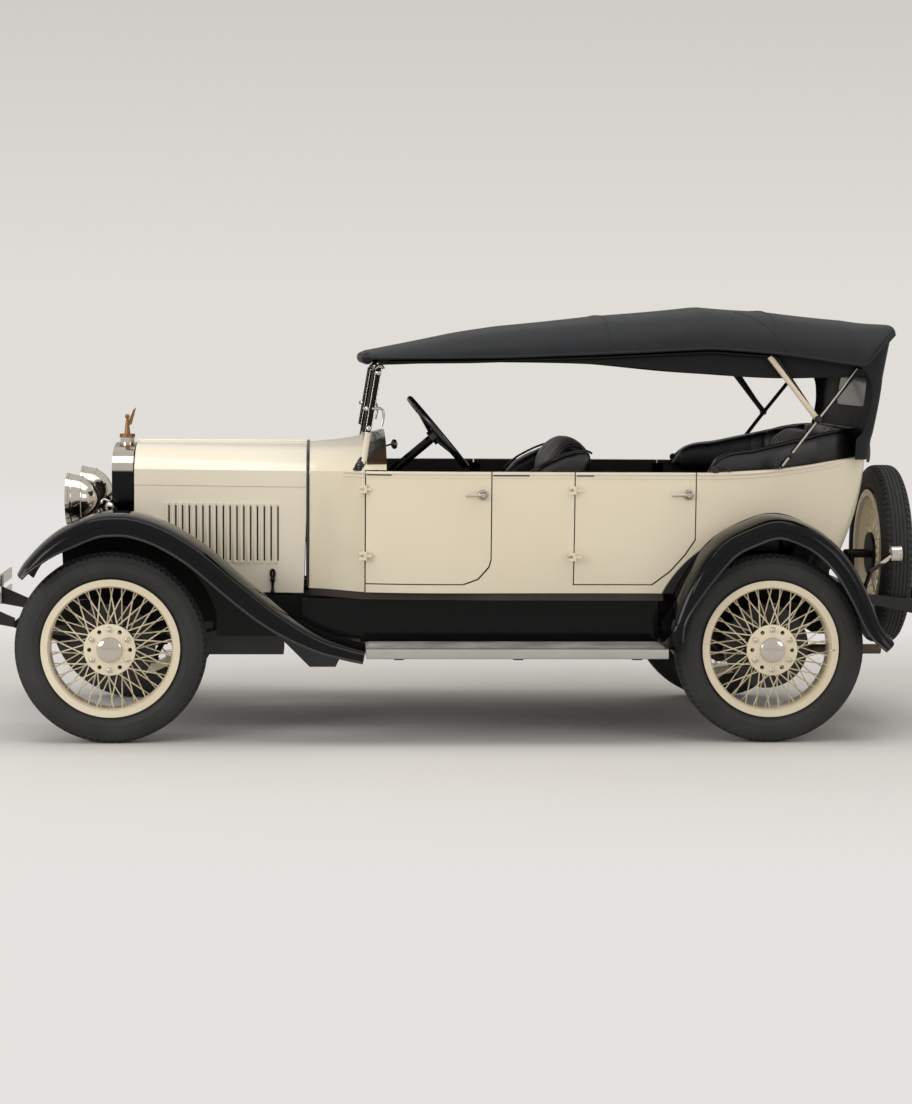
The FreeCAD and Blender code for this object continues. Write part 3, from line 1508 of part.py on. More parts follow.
def canopy_irons():
    # The folding frame: a pivot on the body, two side irons, the side rails and the bows under the canopy
    found = [canopy_bow(x) for x in bow_places + (bow_head_x, iron_head_x - overrun)]
    start = canopy_front + header_depth + overrun + panel_gap
    for side in (-1, 1):
        y = side * iron_y
        pivot = (x_front + iron_pivot_x, y, iron_pivot_z)
        joint = (x_front + iron_joint_x, y, iron_joint_z)
        rear_head = (x_front + iron_head_x - overrun, y, side_rail_height(iron_head_x - overrun))
        bow_head = (x_front + bow_head_x, y, side_rail_height(bow_head_x))
        foot = rod((pivot[0], side * tail_half, pivot[2] - overrun), pivot, iron_radius)
        rail = bar([(x_front + x, y, side_rail_height(x)) for x in (start,) + bow_places + (bow_head_x,)],
                   iron_radius)
        found.append(fuse([bar([pivot, joint, rear_head], iron_radius), rod(joint, bow_head, iron_radius),
                           foot, rail]))
    return fuse(found).cut(body_block(-seat_gap))


# Lamps
lamp_y = 340.0
lamp_radius = 104.0
lamp_x = -205.0
lamp_z = 1000.0
lamp_depth = 130.0
lamp_rim = 12.0
lens_dome = 8.0
lamp_post_lean = 30.0
lamp_post_drop = 40.0
lamp_foot_back = 20.0
lamp_foot_rise = 160.0


def headlamp():
    # Bowl, rim and lens as one turned solid, pointing forwards
    x = x_front + lamp_x
    tip = lamp_rim / 4
    back = V(x + lamp_depth, -lamp_y, lamp_z + tip)
    middle = V(x + lamp_depth * 0.62, -lamp_y, lamp_z + lamp_radius * 0.78)
    mouth = V(x, -lamp_y, lamp_z + lamp_radius)
    lip = V(x, -lamp_y, lamp_z + lamp_radius + lamp_rim / 2)
    edge = V(x - lamp_rim, -lamp_y, lamp_z + lamp_radius + lamp_rim / 2)
    dome = V(x - lamp_rim - lens_dome * 0.75, -lamp_y, lamp_z + lamp_radius / 2)
    nose = V(x - lamp_rim - lens_dome, -lamp_y, lamp_z + tip)
    front = V(nose.x, -lamp_y, lamp_z)
    rear = V(back.x, -lamp_y, lamp_z)
    edges = [Part.Arc(back, middle, mouth).toShape(), Part.makeLine(mouth, lip), Part.makeLine(lip, edge),
             Part.Arc(edge, dome, nose).toShape(), Part.makeLine(nose, front), Part.makeLine(front, rear),
             Part.makeLine(rear, back)]
    face = Part.Face(Part.Wire(edges))
    return face.revolve(V(x, -lamp_y, lamp_z), V(1, 0, 0), 360)


def lamp_bracket():
    x = x_front + lamp_x + lamp_depth * 0.45
    foot = x_front - lamp_foot_back
    low = (x + lamp_post_lean, -lamp_y, lamp_z - lamp_radius - lamp_post_drop)
    post = rod((x, -lamp_y, lamp_z - lamp_radius * 0.7), low, lamp_rim)
    rail_y = rail_width / 2 - frame_half
    arm = bar([low, (foot, rail_y, frame_top + lamp_foot_rise), (foot, rail_y, frame_top + seat_gap)],
              lamp_rim * 1.2)
    return fuse([post, arm])


tail_lamp_x = 3375.0
tail_lamp_y = 480.0
tail_lamp_z = 782.0
tail_lamp_radius = 34.0
tail_lamp_length = 38.0
lamp_arm_radius = 9.0


def tail_lamp():
    x = x_front + tail_lamp_x
    lamp = rod((x - tail_lamp_length, -tail_lamp_y, tail_lamp_z), (x, -tail_lamp_y, tail_lamp_z),
               tail_lamp_radius)
    rail_y = rail_width / 2 - frame_half
    foot_x = x_rear + frame_tail + lamp_arm_radius + seat_gap
    foot_z = frame_bottom + kick_rise + 2 * overrun
    arm = bar([(x - tail_lamp_length / 2, -tail_lamp_y, tail_lamp_z),
               (foot_x, -tail_lamp_y, tail_lamp_z - 4 * overrun),
               (foot_x, rail_y, foot_z + overrun), (foot_x, rail_y, foot_z)], lamp_arm_radius)
    return fuse([lamp, arm])


# Bumpers
bumper_set_in = 42.0
bumper_height = 50.0
bumper_thickness = 8.0
bumper_z = 500.0
bar_gap = 30.0
clamp_half = 30.0
arm_thickness = 14.0
arm_depth = 40.0


def bumper(face_x, inward, frame_end, z_low):
    # Two spring-steel bars clamped to a pair of brackets
    near = face_x + inward * bumper_thickness
    low = bumper_z - bumper_height / 2
    high = low + 2 * bumper_height + bar_gap
    bumper_half = board_outer - bumper_set_in
    pieces = []
    for z in (low, low + bumper_height + bar_gap):
        x0 = min(face_x, near)
        pieces.append(block(x0, x0 + bumper_thickness, -bumper_half, bumper_half, z, z + bumper_height))
    seat = near + inward * seat_gap
    for side in (-1, 1):
        y = side * (frame_half - rail_width / 2)
        x0 = min(seat, seat + inward * bumper_thickness)
        clamp = block(x0, x0 + bumper_thickness, y - clamp_half, y + clamp_half, low, high)
        outline = [(seat, low), (seat, low + bumper_height + bar_gap), (frame_end, z_low + arm_depth),
                   (frame_end, z_low)]
        pieces.append(fuse([clamp, side_prism(outline, y - arm_thickness / 2, y + arm_thickness / 2)]))
    return Part.makeCompound(pieces)


spare_z = 745.0
spare_x = 3330.0
plate_radius = 95.0
plate_thickness = 14.0
arm_radius = 15.0


def spare_wheel(wheel, rubber):
    # The spare stands upright behind the tail, outer side to the rear
    x = x_front + spare_x + tyre_width / 2
    out = []
    for shape in (wheel, rubber):
        turned_shape = shape.copy()
        turned_shape.rotate(V(0, 0, 0), V(0, 0, 1), 90)
        turned_shape.translate(V(x, 0, spare_z))
        out.append(turned_shape)
    return out


def spare_carrier():
    x = x_front + spare_x + tyre_width / 2
    face = x + hub_inner_face - seat_gap
    plate = rod((face - plate_thickness, 0, spare_z), (face, 0, spare_z), plate_radius)
    frame_x = x_rear + frame_tail + seat_gap
    arms = []
    for y in (-plate_radius * 0.6, plate_radius * 0.6):
        foot = (frame_x, y, frame_bottom + kick_rise + frame_height / 4)
        arms.append(bar([(face - plate_thickness, y, spare_z), (frame_x + arm_radius, y, spare_z),
                         (frame_x + arm_radius, y, foot[2] - arm_radius)], arm_radius))
    return fuse([plate] + arms)


def main():
    os.makedirs("parts", exist_ok=True)
    wheel, rubber = wheels()
    spare_rim, spare_rubber = spare_wheel(wheel, rubber)
    save(spare_rim, "spare_wheel")
    save(spare_rubber, "spare_tyre")
    save(spare_carrier(), "spare_carrier")
    save(front_axle(), "front_axle")
    left_knuckle = knuckle()
    save(left_knuckle, "knuckle_left")
    save(mirrored(left_knuckle), "knuckle_right")
    save(tie_rod(), "tie_rod")
    save(chassis_frame(), "chassis_frame")
    save(springs(), "leaf_springs")
    save(rear_axle(), "rear_axle")
    save(engine(), "engine_block")
    save(exhaust(), "exhaust")
    save(fuel_tank(), "fuel_tank")
    save(radiator_shell(), "radiator_shell")
    save(radiator_core(), "radiator_core")
    save(radiator_cap(), "radiator_cap")
    save(bonnet_top(barrel_first_share), "bonnet_top_left")
    save(mirrored(bonnet_top(barrel_first_share + barrel_pitch_share / 2)), "bonnet_top_right")
    side = bonnet_side()
    save(side, "bonnet_side_left")
    save(mirrored(side), "bonnet_side_right")
    doors, middle, rear = body_panels()
    scuttle, front_door = hinged(door1_front, cowl(), doors[0])
    fixed = [mirrored(door_hinge(door1_front, hinge_y(door1_front), z)[0]) for z in hinge_heights]
    save(fuse([scuttle] + fixed), "cowl")
    middle, rear_door = hinged(door2_front, middle, doors[1])
    for name, door in (("door_front", front_door), ("door_rear", rear_door)):
        save(door, name + "_left")
        save(mirrored(door), name + "_right")
    save(pair(middle), "body_sides")
    save(rear, "body_rear")
    save(floor_pan(), "floor")
    save(instrument_panel(), "instrument_panel")
    save(pair(wing(front_wing_points(), front_wing_inner, board_outer)), "front_wings")
    save(pair(rear_wing()), "rear_wings")
    save(pair(running_board()), "running_boards")
    save(pair(valance()), "valances")
    save(windscreen_frame(), "windscreen_frame")
    save(windscreen_glass(), "windscreen_glass")
    save(steering_column(), "steering_column")
    save(steering_wheel(), "steering_wheel")
    save(front_seat(), "front_seat")
    save(rear_seat(), "rear_seat")
    save(canopy(), "canopy")
    save(canopy_irons(), "canopy_irons")
    save(pair(fuse([headlamp(), lamp_bracket()])), "headlamps")
    save(tail_lamp(), "tail_lamp")
    save(bumper(x_front - front_reach, 1, x_front - horn_length - spring_leaf - seat_gap,
                frame_bottom - horn_drop),
         "front_bumper")
    save(bumper(x_rear + rear_reach, -1, x_rear + frame_tail + seat_gap, frame_bottom + kick_rise),
         "rear_bumper")


main()
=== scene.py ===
"""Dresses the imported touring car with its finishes, and with the pieces that its solids leave out."""
import json
import math

import bmesh
import bpy
from mathutils import Matrix, Vector
from mathutils.bvhtree import BVHTree

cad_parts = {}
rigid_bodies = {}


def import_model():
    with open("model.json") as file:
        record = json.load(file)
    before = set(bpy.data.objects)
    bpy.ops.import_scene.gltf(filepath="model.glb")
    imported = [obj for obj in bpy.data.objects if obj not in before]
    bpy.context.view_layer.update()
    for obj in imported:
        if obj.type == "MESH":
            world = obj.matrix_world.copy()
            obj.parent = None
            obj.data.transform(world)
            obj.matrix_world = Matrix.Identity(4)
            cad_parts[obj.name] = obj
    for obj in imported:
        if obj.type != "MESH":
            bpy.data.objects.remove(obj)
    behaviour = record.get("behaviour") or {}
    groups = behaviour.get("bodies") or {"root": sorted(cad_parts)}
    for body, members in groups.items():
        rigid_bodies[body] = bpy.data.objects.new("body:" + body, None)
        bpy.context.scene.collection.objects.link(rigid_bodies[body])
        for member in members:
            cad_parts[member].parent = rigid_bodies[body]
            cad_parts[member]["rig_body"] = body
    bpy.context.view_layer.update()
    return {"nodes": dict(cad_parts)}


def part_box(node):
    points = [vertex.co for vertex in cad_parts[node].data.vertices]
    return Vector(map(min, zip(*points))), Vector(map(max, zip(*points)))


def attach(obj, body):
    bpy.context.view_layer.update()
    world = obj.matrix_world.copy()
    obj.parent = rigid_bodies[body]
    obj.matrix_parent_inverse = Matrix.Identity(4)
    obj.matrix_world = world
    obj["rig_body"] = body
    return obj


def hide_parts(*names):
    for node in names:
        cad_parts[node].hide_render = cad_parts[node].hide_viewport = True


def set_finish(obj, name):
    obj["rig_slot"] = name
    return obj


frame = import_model()
NODES = frame["nodes"]
SIDES = (("left", -1), ("right", 1))

# Axles and wheel centres in metres; all other places are millimetres measured from the front axle
AXLE = -1.525
REAR_AXLE = AXLE + 2.77
WHEEL_Y = 0.70
AXLE_HEIGHT = 0.40
MM = 0.001


def place(x, y, z):
    """A point given in millimetres back from the front axle, across and above the ground."""
    return Vector((AXLE + x * MM, y * MM, z * MM))


# Camera at the photograph's viewing point
FOCAL_PIXELS = 2518.0
IMAGE_HEIGHT = 1104
SENSOR = 36.0
CAMERA_AT = Vector((-0.65065, -11.23111, 1.65156))
YAW, PITCH, ROLL = 0.05373, 0.08032, 0.00674


def make_camera():
    forward = Vector((math.sin(YAW) * math.cos(PITCH), math.cos(YAW) * math.cos(PITCH), -math.sin(PITCH)))
    right = Vector((math.cos(YAW), -math.sin(YAW), 0))
    up = right.cross(forward)
    turned_right = right * math.cos(ROLL) + up * math.sin(ROLL)
    turned_up = up * math.cos(ROLL) - right * math.sin(ROLL)
    data = bpy.data.cameras.new("camera")
    data.lens = FOCAL_PIXELS * SENSOR / IMAGE_HEIGHT
    data.sensor_width = SENSOR
    data.clip_end = 100
    camera = bpy.data.objects.new("camera", data)
    bpy.context.scene.collection.objects.link(camera)
    axes = Matrix((turned_right, turned_up, -forward)).transposed()
    camera.matrix_world = Matrix.Translation(CAMERA_AT) @ axes.to_4x4()
    bpy.context.scene.camera = camera


# Shader maths
class Socket:
    """A node's output, so that shader maths reads as an expression."""

    tree = None

    def __init__(self, output):
        self.output = output

    @classmethod
    def node(cls, kind, settings=None, sockets=None, out=0):
        made = cls.tree.nodes.new(kind)
        for name, value in (settings or {}).items():
            if name == "stops":
                elements = made.color_ramp.elements
                while len(elements) < len(value):
                    elements.new(1)
                for element, (position, colour) in zip(elements, value):
                    element.position = position
                    element.color = colour if hasattr(colour, "__len__") else (colour, colour, colour, 1)
            else:
                setattr(made, name, value)
        for name, value in (sockets or {}).items():
            if isinstance(value, Socket):
                cls.tree.links.new(value.output, made.inputs[name])
            else:
                made.inputs[name].default_value = value
        return cls(made.outputs[out])

    def maths(self, operation, other, swapped=False):
        pair = (other, self) if swapped else (self, other)
        return Socket.node("ShaderNodeMath", {"operation": operation}, {0: pair[0], 1: pair[1]})

    def __add__(self, other):
        return self.maths("ADD", other)

    def __sub__(self, other):
        return self.maths("SUBTRACT", other)

    def __rsub__(self, other):
        return self.maths("SUBTRACT", other, True)

    def __mul__(self, other):
        return self.maths("MULTIPLY", other)


def linear(colour):
    """A display colour of 0 to 255 a channel as Blender's linear values."""
    shares = [c / 255 for c in colour]
    return tuple(c / 12.92 if c <= 0.04045 else ((c + 0.055) / 1.055) ** 2.4 for c in shares) + (1.0,)


def coordinate(kind="Object"):
    return Socket.node("ShaderNodeTexCoord", out={"Normal": 1, "Object": 3}[kind])


def noise(scale, detail, vector=None):
    return Socket.node("ShaderNodeTexNoise", sockets={"Vector": vector or coordinate(), "Scale": scale,
                                                      "Detail": detail, "Roughness": 0.55})


def wave(scale, axis):
    return Socket.node("ShaderNodeTexWave", {"bands_direction": axis},
                       {"Vector": coordinate(), "Scale": scale}, out=1)


def ramp(factor, stops):
    return Socket.node("ShaderNodeValToRGB", {"stops": stops}, {"Fac": factor})


def mix(factor, *colours):
    """Two colours, each a socket or a display colour, mixed by a factor."""
    first, second = [c if isinstance(c, Socket) else linear(c) for c in colours]
    return Socket.node("ShaderNodeMix", {"data_type": "RGBA"}, {0: factor, 6: first, 7: second}, out=2)


def bump(height, distance, strength, below=None):
    sockets = {"Height": height, "Distance": distance, "Strength": strength}
    if below is not None:
        sockets["Normal"] = below
    return Socket.node("ShaderNodeBump", sockets=sockets)


def part_of(axis, vector=None):
    """One coordinate of the piece, or of another vector."""
    return Socket.node("ShaderNodeSeparateXYZ", None, {"Vector": vector or coordinate()}, "XYZ".index(axis))


def off_centre(axis):
    return part_of(axis).maths("ABSOLUTE", 0.0)


def above(value, edge, soft=0.002):
    """1 where a value is over an edge, 0 where it is under it."""
    return ramp((value - edge) * (0.5 / soft) + 0.5, [(0.0, 0.0), (1.0, 1.0)])


def reach_from(first, second, across="X"):
    """Distance from an axle, arch or lamp centre, seen from the side or from behind."""
    at = coordinate()
    side, height = part_of(across, at) - first, part_of("Z", at) - second
    return (side * side + height * height).maths("POWER", 0.5)


# Finishes: each returns the sockets of its Principled shader
BLACK = (16, 16, 17)
WHEEL_CREAM = ((229, 217, 191), (214, 200, 171), 0.3, 0.45)


def paint(colour, shade, rough, coat, peel=0.00005, dust=0.1, specular=0.5):
    """Brushed coachwork enamel: a faint cloud in its tone, a soft orange peel and a thin film of dust."""
    tone = mix(ramp(noise(1.6, 2.0), [(0.3, 0.0), (0.7, 1.0)]), colour, shade)
    flat = ramp(noise(9.0, 5.0), [(0.35, rough), (0.75, rough + dust * 0.3)])
    return {"Base Color": tone, "Roughness": flat, "Coat Weight": coat, "Coat Roughness": 0.04,
            "Specular IOR Level": specular, "Normal": bump(noise(260.0, 2.0), peel, 0.25)}


def coachwork(colour, shade, rough, coat, arch_radius):
    """Cream outside, dark trim on the faces that look into the car, black under the rear wing's arch."""
    outside = paint(colour, shade, rough, coat)
    facing = part_of("Y", coordinate("Normal")) * part_of("Y")
    inside = above(facing * -1, 0.06, 0.02)
    arch = 1 - above(reach_from(REAR_AXLE, AXLE_HEIGHT), arch_radius, 0.003)
    dark = inside.maths("MAXIMUM", arch)
    return {"Base Color": mix(dark, outside["Base Color"], (20, 19, 18)),
            "Roughness": outside["Roughness"] * (1 - dark) + dark * 0.5,
            "Coat Weight": (1 - dark) * coat, "Coat Roughness": 0.04, "Normal": outside["Normal"]}


def wheel_paint(axle):
    """Cream enamel on rim, spokes and hub, and a black drum behind them."""
    cream = paint(*WHEEL_CREAM, dust=0.5)
    behind = (1 - above(off_centre("Y"), 0.672)) * (1 - above(reach_from(axle, AXLE_HEIGHT), 0.2))
    return {"Base Color": mix(behind, cream["Base Color"], (24, 22, 20)), "Roughness": cream["Roughness"],
            "Coat Weight": (1 - behind) * 0.45, "Coat Roughness": 0.05, "Normal": cream["Normal"]}


def plated_and_black(mask):
    """Nickel where mask is 1 and black enamel elsewhere."""
    shown = mask()
    patches = noise(60.0, 5.0)
    return {"Base Color": mix(shown, BLACK, (206, 200, 190)), "Metallic": shown,
            "Roughness": ramp(patches, [(0.3, 0.08), (0.75, 0.144)]) + (1 - shown) * 0.14,
            "Normal": bump(patches, 0.00005, 0.25)}


def plated(colour, rough, grain=60.0):
    """Plated or bare metal with a slightly uneven polish."""
    patches = noise(grain, 5.0)
    tone = mix(noise(7.0, 3.0), colour, [c * 0.9 for c in colour])
    return {"Base Color": tone, "Metallic": 1.0, "Normal": bump(patches, 0.00006, 0.3),
            "Roughness": ramp(patches, [(0.3, rough), (0.75, rough * 1.8)])}


def shell_plating(colour, rough):
    """Nickel whose flat lower sides are painted dark: a painted reflection of the dark wing that the plate
    faces.
    """
    made = plated(colour, rough)
    # Painted reflection: the base colour turns dark below the shell's crease.
    low = 1 - above(part_of("Z"), 1.118, 0.004)
    return dict(made, **{"Base Color": mix(low, made["Base Color"], (40, 40, 42))})


def rubber(colour, rough=0.62):
    chalk = noise(5.0, 6.0)
    tone = mix(ramp(chalk, [(0.4, 0.0), (0.75, 1.0)]), colour, [c * 1.35 + 8 for c in colour])
    return {"Base Color": tone, "Roughness": ramp(chalk, [(0.3, rough), (0.8, rough + 0.15)]),
            "Normal": bump(noise(420.0, 3.0), 0.0002, 0.4)}


def leather(colour, shade):
    cells = Socket.node("ShaderNodeTexVoronoi", {"feature": "DISTANCE_TO_EDGE"},
                        {"Vector": coordinate(), "Scale": 240.0})
    worn = noise(6.0, 5.0)
    grain = bump(ramp(cells, [(0.0, 0.0), (0.12, 1.0)]), 0.0004, 0.55)
    return {"Base Color": mix(ramp(worn, [(0.45, 0.0), (0.8, 1.0)]), colour, shade),
            "Roughness": ramp(worn, [(0.3, 0.3), (0.75, 0.45)]), "Coat Weight": 0.2, "Coat Roughness": 0.25,
            "Normal": bump(noise(24.0, 4.0), 0.0016, 0.4, grain)}


def canvas(colour, shade):
    """Rubbered hood cloth: fine weave, soft folds and a faint bloom of dust."""
    drawn = Socket.node("ShaderNodeMapping", sockets={"Vector": coordinate(), "Scale": (0.5, 1.6, 1.0)})
    folds, bloom = noise(3.2, 4.0, drawn), noise(9.0, 6.0)
    weave = bump(wave(420.0, "X") * wave(420.0, "Y"), 0.00025, 0.5)
    return {"Base Color": mix(ramp(bloom, [(0.35, 0.0), (0.8, 1.0)]), colour, shade),
            "Roughness": ramp(bloom, [(0.3, 0.58), (0.8, 0.74)]), "Sheen Weight": 0.03,
            "Sheen Roughness": 0.4, "Specular IOR Level": 0.3, "Normal": bump(folds, 0.006, 0.5, weave)}


def clear(colour, rough=0.02, ribs=None):
    made = {"Base Color": linear(colour), "Roughness": rough, "IOR": 1.45, "Transmission Weight": 1.0}
    if ribs:
        made["Normal"] = bump(wave(ribs, "Y"), 0.001, 0.6)
    return made


def bow_wood():
    """Bare ash on the outer face of the bow, black on its other faces."""
    wood = paint((222, 206, 180), (182, 158, 128), 0.45, 0.2, dust=0.3)
    outer = above(off_centre("Y"), 0.653)
    return dict(wood, **{"Base Color": mix(outer, (14, 13, 12), wood["Base Color"])})


def dash_hood_paint():
    """Grey ribbed top over polished brown sides; the light and dark brown bands by height are painted
    reflections in the polish.
    """
    height = part_of("Z")
    # Painted reflections: light brown, dark brown and lighter brown bands up the hood, then the grey top.
    tone = ramp(height * 2.0 - 2.0, [(0.26, linear((112, 88, 62))), (0.36, linear((62, 46, 33))),
                                     (0.46, linear((94, 80, 66))), (0.56, linear((70, 70, 68)))])
    return {"Base Color": tone, "Roughness": 0.16, "Coat Weight": 0.5, "Coat Roughness": 0.04,
            "Normal": bump(wave(90.0, "X") * above(height, 1.225), 0.0008, 0.3)}


def honeycomb():
    """Fine tubes and fins of the radiator core."""
    cells = ramp(wave(190.0, "Y") * wave(260.0, "Z"), [(0.1, 0.0), (0.45, 1.0)])
    return {"Base Color": mix(cells, (8, 8, 8), (70, 66, 58)), "Metallic": 0.5, "Roughness": 0.5,
            "Normal": bump(cells, 0.001, 0.6)}


def backdrop():
    return {"Base Color": linear((214, 211, 207)), "Roughness": 0.75, "Specular IOR Level": 0.2,
            "Normal": bump(noise(60.0, 4.0), 0.0004, 0.2)}


FINISHES = {}


def finish_of(name, build, *values, **settings):
    """A material with the sockets that a finish returns for these values."""
    material = bpy.data.materials.new(name)
    material.use_nodes = True
    Socket.tree = material.node_tree
    shader = material.node_tree.nodes["Principled BSDF"]
    for socket, value in build(*values, **settings).items():
        if isinstance(value, Socket):
            material.node_tree.links.new(value.output, shader.inputs[socket])
        else:
            shader.inputs[socket].default_value = value
    FINISHES[name] = material
    return material


finish_of("coach cream", paint, (232, 222, 202), (229, 218, 197), 0.24, 0.6)
finish_of("tub cream", coachwork, (232, 220, 195), (228, 215, 189), 0.24, 0.6, arch_radius=0.5)
finish_of("wing black", paint, (5, 5, 6), (7, 7, 8), 0.08, 0.0, peel=0.00004, dust=0.15, specular=0.2)
finish_of("bead black", paint, (8, 8, 9), (12, 12, 13), 0.1, 0.5)
finish_of("chassis black", paint, (9, 9, 9), (16, 15, 14), 0.4, 0.0, dust=0.6, specular=0.18)
finish_of("slot black", paint, (10, 9, 8), (14, 13, 12), 0.6, 0.0, specular=0.2)
finish_of("cast grey", paint, (86, 88, 88), (62, 62, 60), 0.6, 0.0, peel=0.0009, dust=0.4)
finish_of("ebonite", paint, (15, 15, 15), (22, 22, 22), 0.2, 0.4)
finish_of("wheel cream", paint, *WHEEL_CREAM, dust=0.5)
finish_of("front wheel cream", wheel_paint, AXLE)
finish_of("rear wheel cream", wheel_paint, REAR_AXLE)
finish_of("lamp plating", plated_and_black, lambda: above(part_of("Z"), 0.9))
finish_of("bumper plating", plated_and_black, lambda: above(off_centre("X"), 2.112))
finish_of("tail lamp plating", plated_and_black, lambda: 1 - above(reach_from(-0.48, 0.782, "Y"), 0.041))
finish_of("nickel", plated, (214, 206, 194), 0.09)
finish_of("shell plating", shell_plating, (214, 206, 194), 0.09)
finish_of("bronze", plated, (150, 112, 74), 0.3)
finish_of("bright aluminium", plated, (200, 198, 194), 0.27, grain=120.0)
finish_of("dark steel", plated, (74, 72, 70), 0.25, grain=90.0)
finish_of("exhaust steel", plated, (112, 100, 90), 0.5, grain=24.0)
finish_of("tyre rubber", rubber, (30, 30, 30))
finish_of("board mat grey", rubber, (120, 117, 116), 0.55)
finish_of("floor boards", rubber, (46, 40, 34), 0.7)
finish_of("seat leather", leather, (9, 9, 10), (20, 19, 20))
finish_of("hood canvas", canvas, (20, 21, 23), (32, 34, 37))
# The lining is a darker copy of the hood canvas: black lining cloth, darker still as painted shade under the
# roof's edge.
finish_of("hood lining", canvas, (7, 7, 8), (12, 12, 13))
finish_of("pane glass", clear, (232, 240, 236))
finish_of("celluloid", clear, (84, 88, 84), 0.12)
finish_of("lens glass", clear, (240, 244, 242), 0.05, ribs=60.0)
finish_of("red glass", clear, (170, 20, 16), 0.08)
finish_of("bow wood", bow_wood)
finish_of("dash brown", dash_hood_paint)
finish_of("radiator core black", honeycomb)

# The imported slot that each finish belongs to, on the pieces made here
SLOTS = {"coach cream": "body_paint", "dash brown": "body_paint", "wing black": "black_paint",
         "bead black": "black_paint", "slot black": "black_paint", "chassis black": "chassis_black",
         "cast grey": "steel", "exhaust steel": "steel", "ebonite": "ebonite", "nickel": "nickel",
         "bright aluminium": "nickel", "dark steel": "nickel", "tyre rubber": "tyre",
         "board mat grey": "board_mat", "floor boards": "boards", "bow wood": "boards",
         "seat leather": "leather", "hood canvas": "canvas", "hood lining": "canvas", "celluloid": "glass",
         "lens glass": "glass", "red glass": "glass"}


def each_side(*names):
    return ["%s_%s" % (name, side) for name in names for side, sign in SIDES]


SHOWN = {
    "tub cream": ["cowl", "body_sides", "body_rear"] + each_side("door_front", "door_rear"),
    "coach cream": each_side("bonnet_top", "bonnet_side"),
    "wing black": ["front_wings", "rear_wings", "valances", "canopy_irons", "windscreen_frame",
                   "steering_column"],
    "chassis black": ["chassis_frame", "leaf_springs", "front_axle", "rear_axle", "fuel_tank", "tie_rod",
                      "spare_carrier"] + each_side("knuckle"),
    "front wheel cream": each_side("wheel_front"),
    "rear wheel cream": each_side("wheel_rear"),
    "wheel cream": ["spare_wheel"],
    "shell plating": ["radiator_shell"],
    "lamp plating": ["headlamps"],
    "tail lamp plating": ["tail_lamp"],
    "bumper plating": ["front_bumper", "rear_bumper"],
    "bronze": ["radiator_cap"],
    "cast grey": ["engine_block"],
    "exhaust steel": ["exhaust"],
    "radiator core black": ["radiator_core"],
    "tyre rubber": ["spare_tyre"] + each_side("tyre_front", "tyre_rear"),
    "board mat grey": ["running_boards"],
    "floor boards": ["floor"],
    "seat leather": ["front_seat", "rear_seat"],
    "hood canvas": ["canopy"],
    "pane glass": ["windscreen_glass"],
    "ebonite": ["steering_wheel", "instrument_panel"],
}


def finish_nodes():
    for finish, names in SHOWN.items():
        for name in names:
            data = NODES[name].data
            data.materials.clear()
            data.materials.append(FINISHES[finish])


# Modelling moves
def pick(*pieces):
    bpy.ops.object.select_all(action="DESELECT")
    for piece in pieces:
        piece.select_set(True)
    bpy.context.view_layer.objects.active = pieces[0]


def edit(piece):
    """Edit mode with the whole piece selected."""
    pick(piece)
    bpy.ops.object.mode_set(mode="EDIT")
    bpy.ops.mesh.select_all(action="SELECT")


def done_editing():
    bpy.ops.object.mode_set(mode="OBJECT")


def apply_place():
    bpy.ops.object.transform_apply(location=True, rotation=True, scale=True)


def mesh_piece(name, points, edges=(), faces=()):
    """A new piece from points of its outline, lattice or profile, ready for edit mode."""
    mesh = bpy.data.meshes.new(name)
    mesh.from_pydata([tuple(p) for p in points], list(edges), list(faces))
    piece = bpy.data.objects.new(name, mesh)
    bpy.context.scene.collection.objects.link(piece)
    pick(piece)
    return piece


def choose_faces(piece, test):
    """In edit mode, selects only the faces whose middle passes a test."""
    mesh = bmesh.from_edit_mesh(piece.data)
    for group in (mesh.faces, mesh.edges, mesh.verts):
        for item in group:
            item.select = False
    bpy.ops.mesh.select_mode(type="FACE")
    for face in mesh.faces:
        face.select = bool(test(face.calc_center_median()))
    mesh.select_flush_mode()
    bmesh.update_edit_mesh(piece.data)


def modify(piece, kind, **settings):
    pick(piece)
    modifier = piece.modifiers.new(kind.lower(), kind)
    for name, value in settings.items():
        setattr(modifier, name, value)
    bpy.ops.object.modifier_apply(modifier=modifier.name)
    return piece


def rounded(piece, width, steps=2):
    return modify(piece, "BEVEL", width=width, segments=steps, limit_method="ANGLE", angle_limit=0.6)


def softened(piece):
    return modify(piece, "SUBSURF", levels=1, render_levels=1)


def tidied(piece):
    """Doubles merged and every face turned outwards."""
    edit(piece)
    bpy.ops.mesh.remove_doubles(threshold=0.00001)
    bpy.ops.mesh.normals_make_consistent(inside=False)
    done_editing()
    return piece


def settled(piece, finish, smooth=0.6, body="car"):
    """Gives a piece its finish, its place in the mesh, its shading and the body that it rides on."""
    pick(piece)
    apply_place()
    piece.data.materials.clear()
    piece.data.materials.append(FINISHES[finish])
    bpy.ops.object.shade_smooth_by_angle(angle=smooth)
    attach(piece, body)
    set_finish(piece, SLOTS[finish])
    return piece


def other_side(name):
    return name.replace("left", "right")


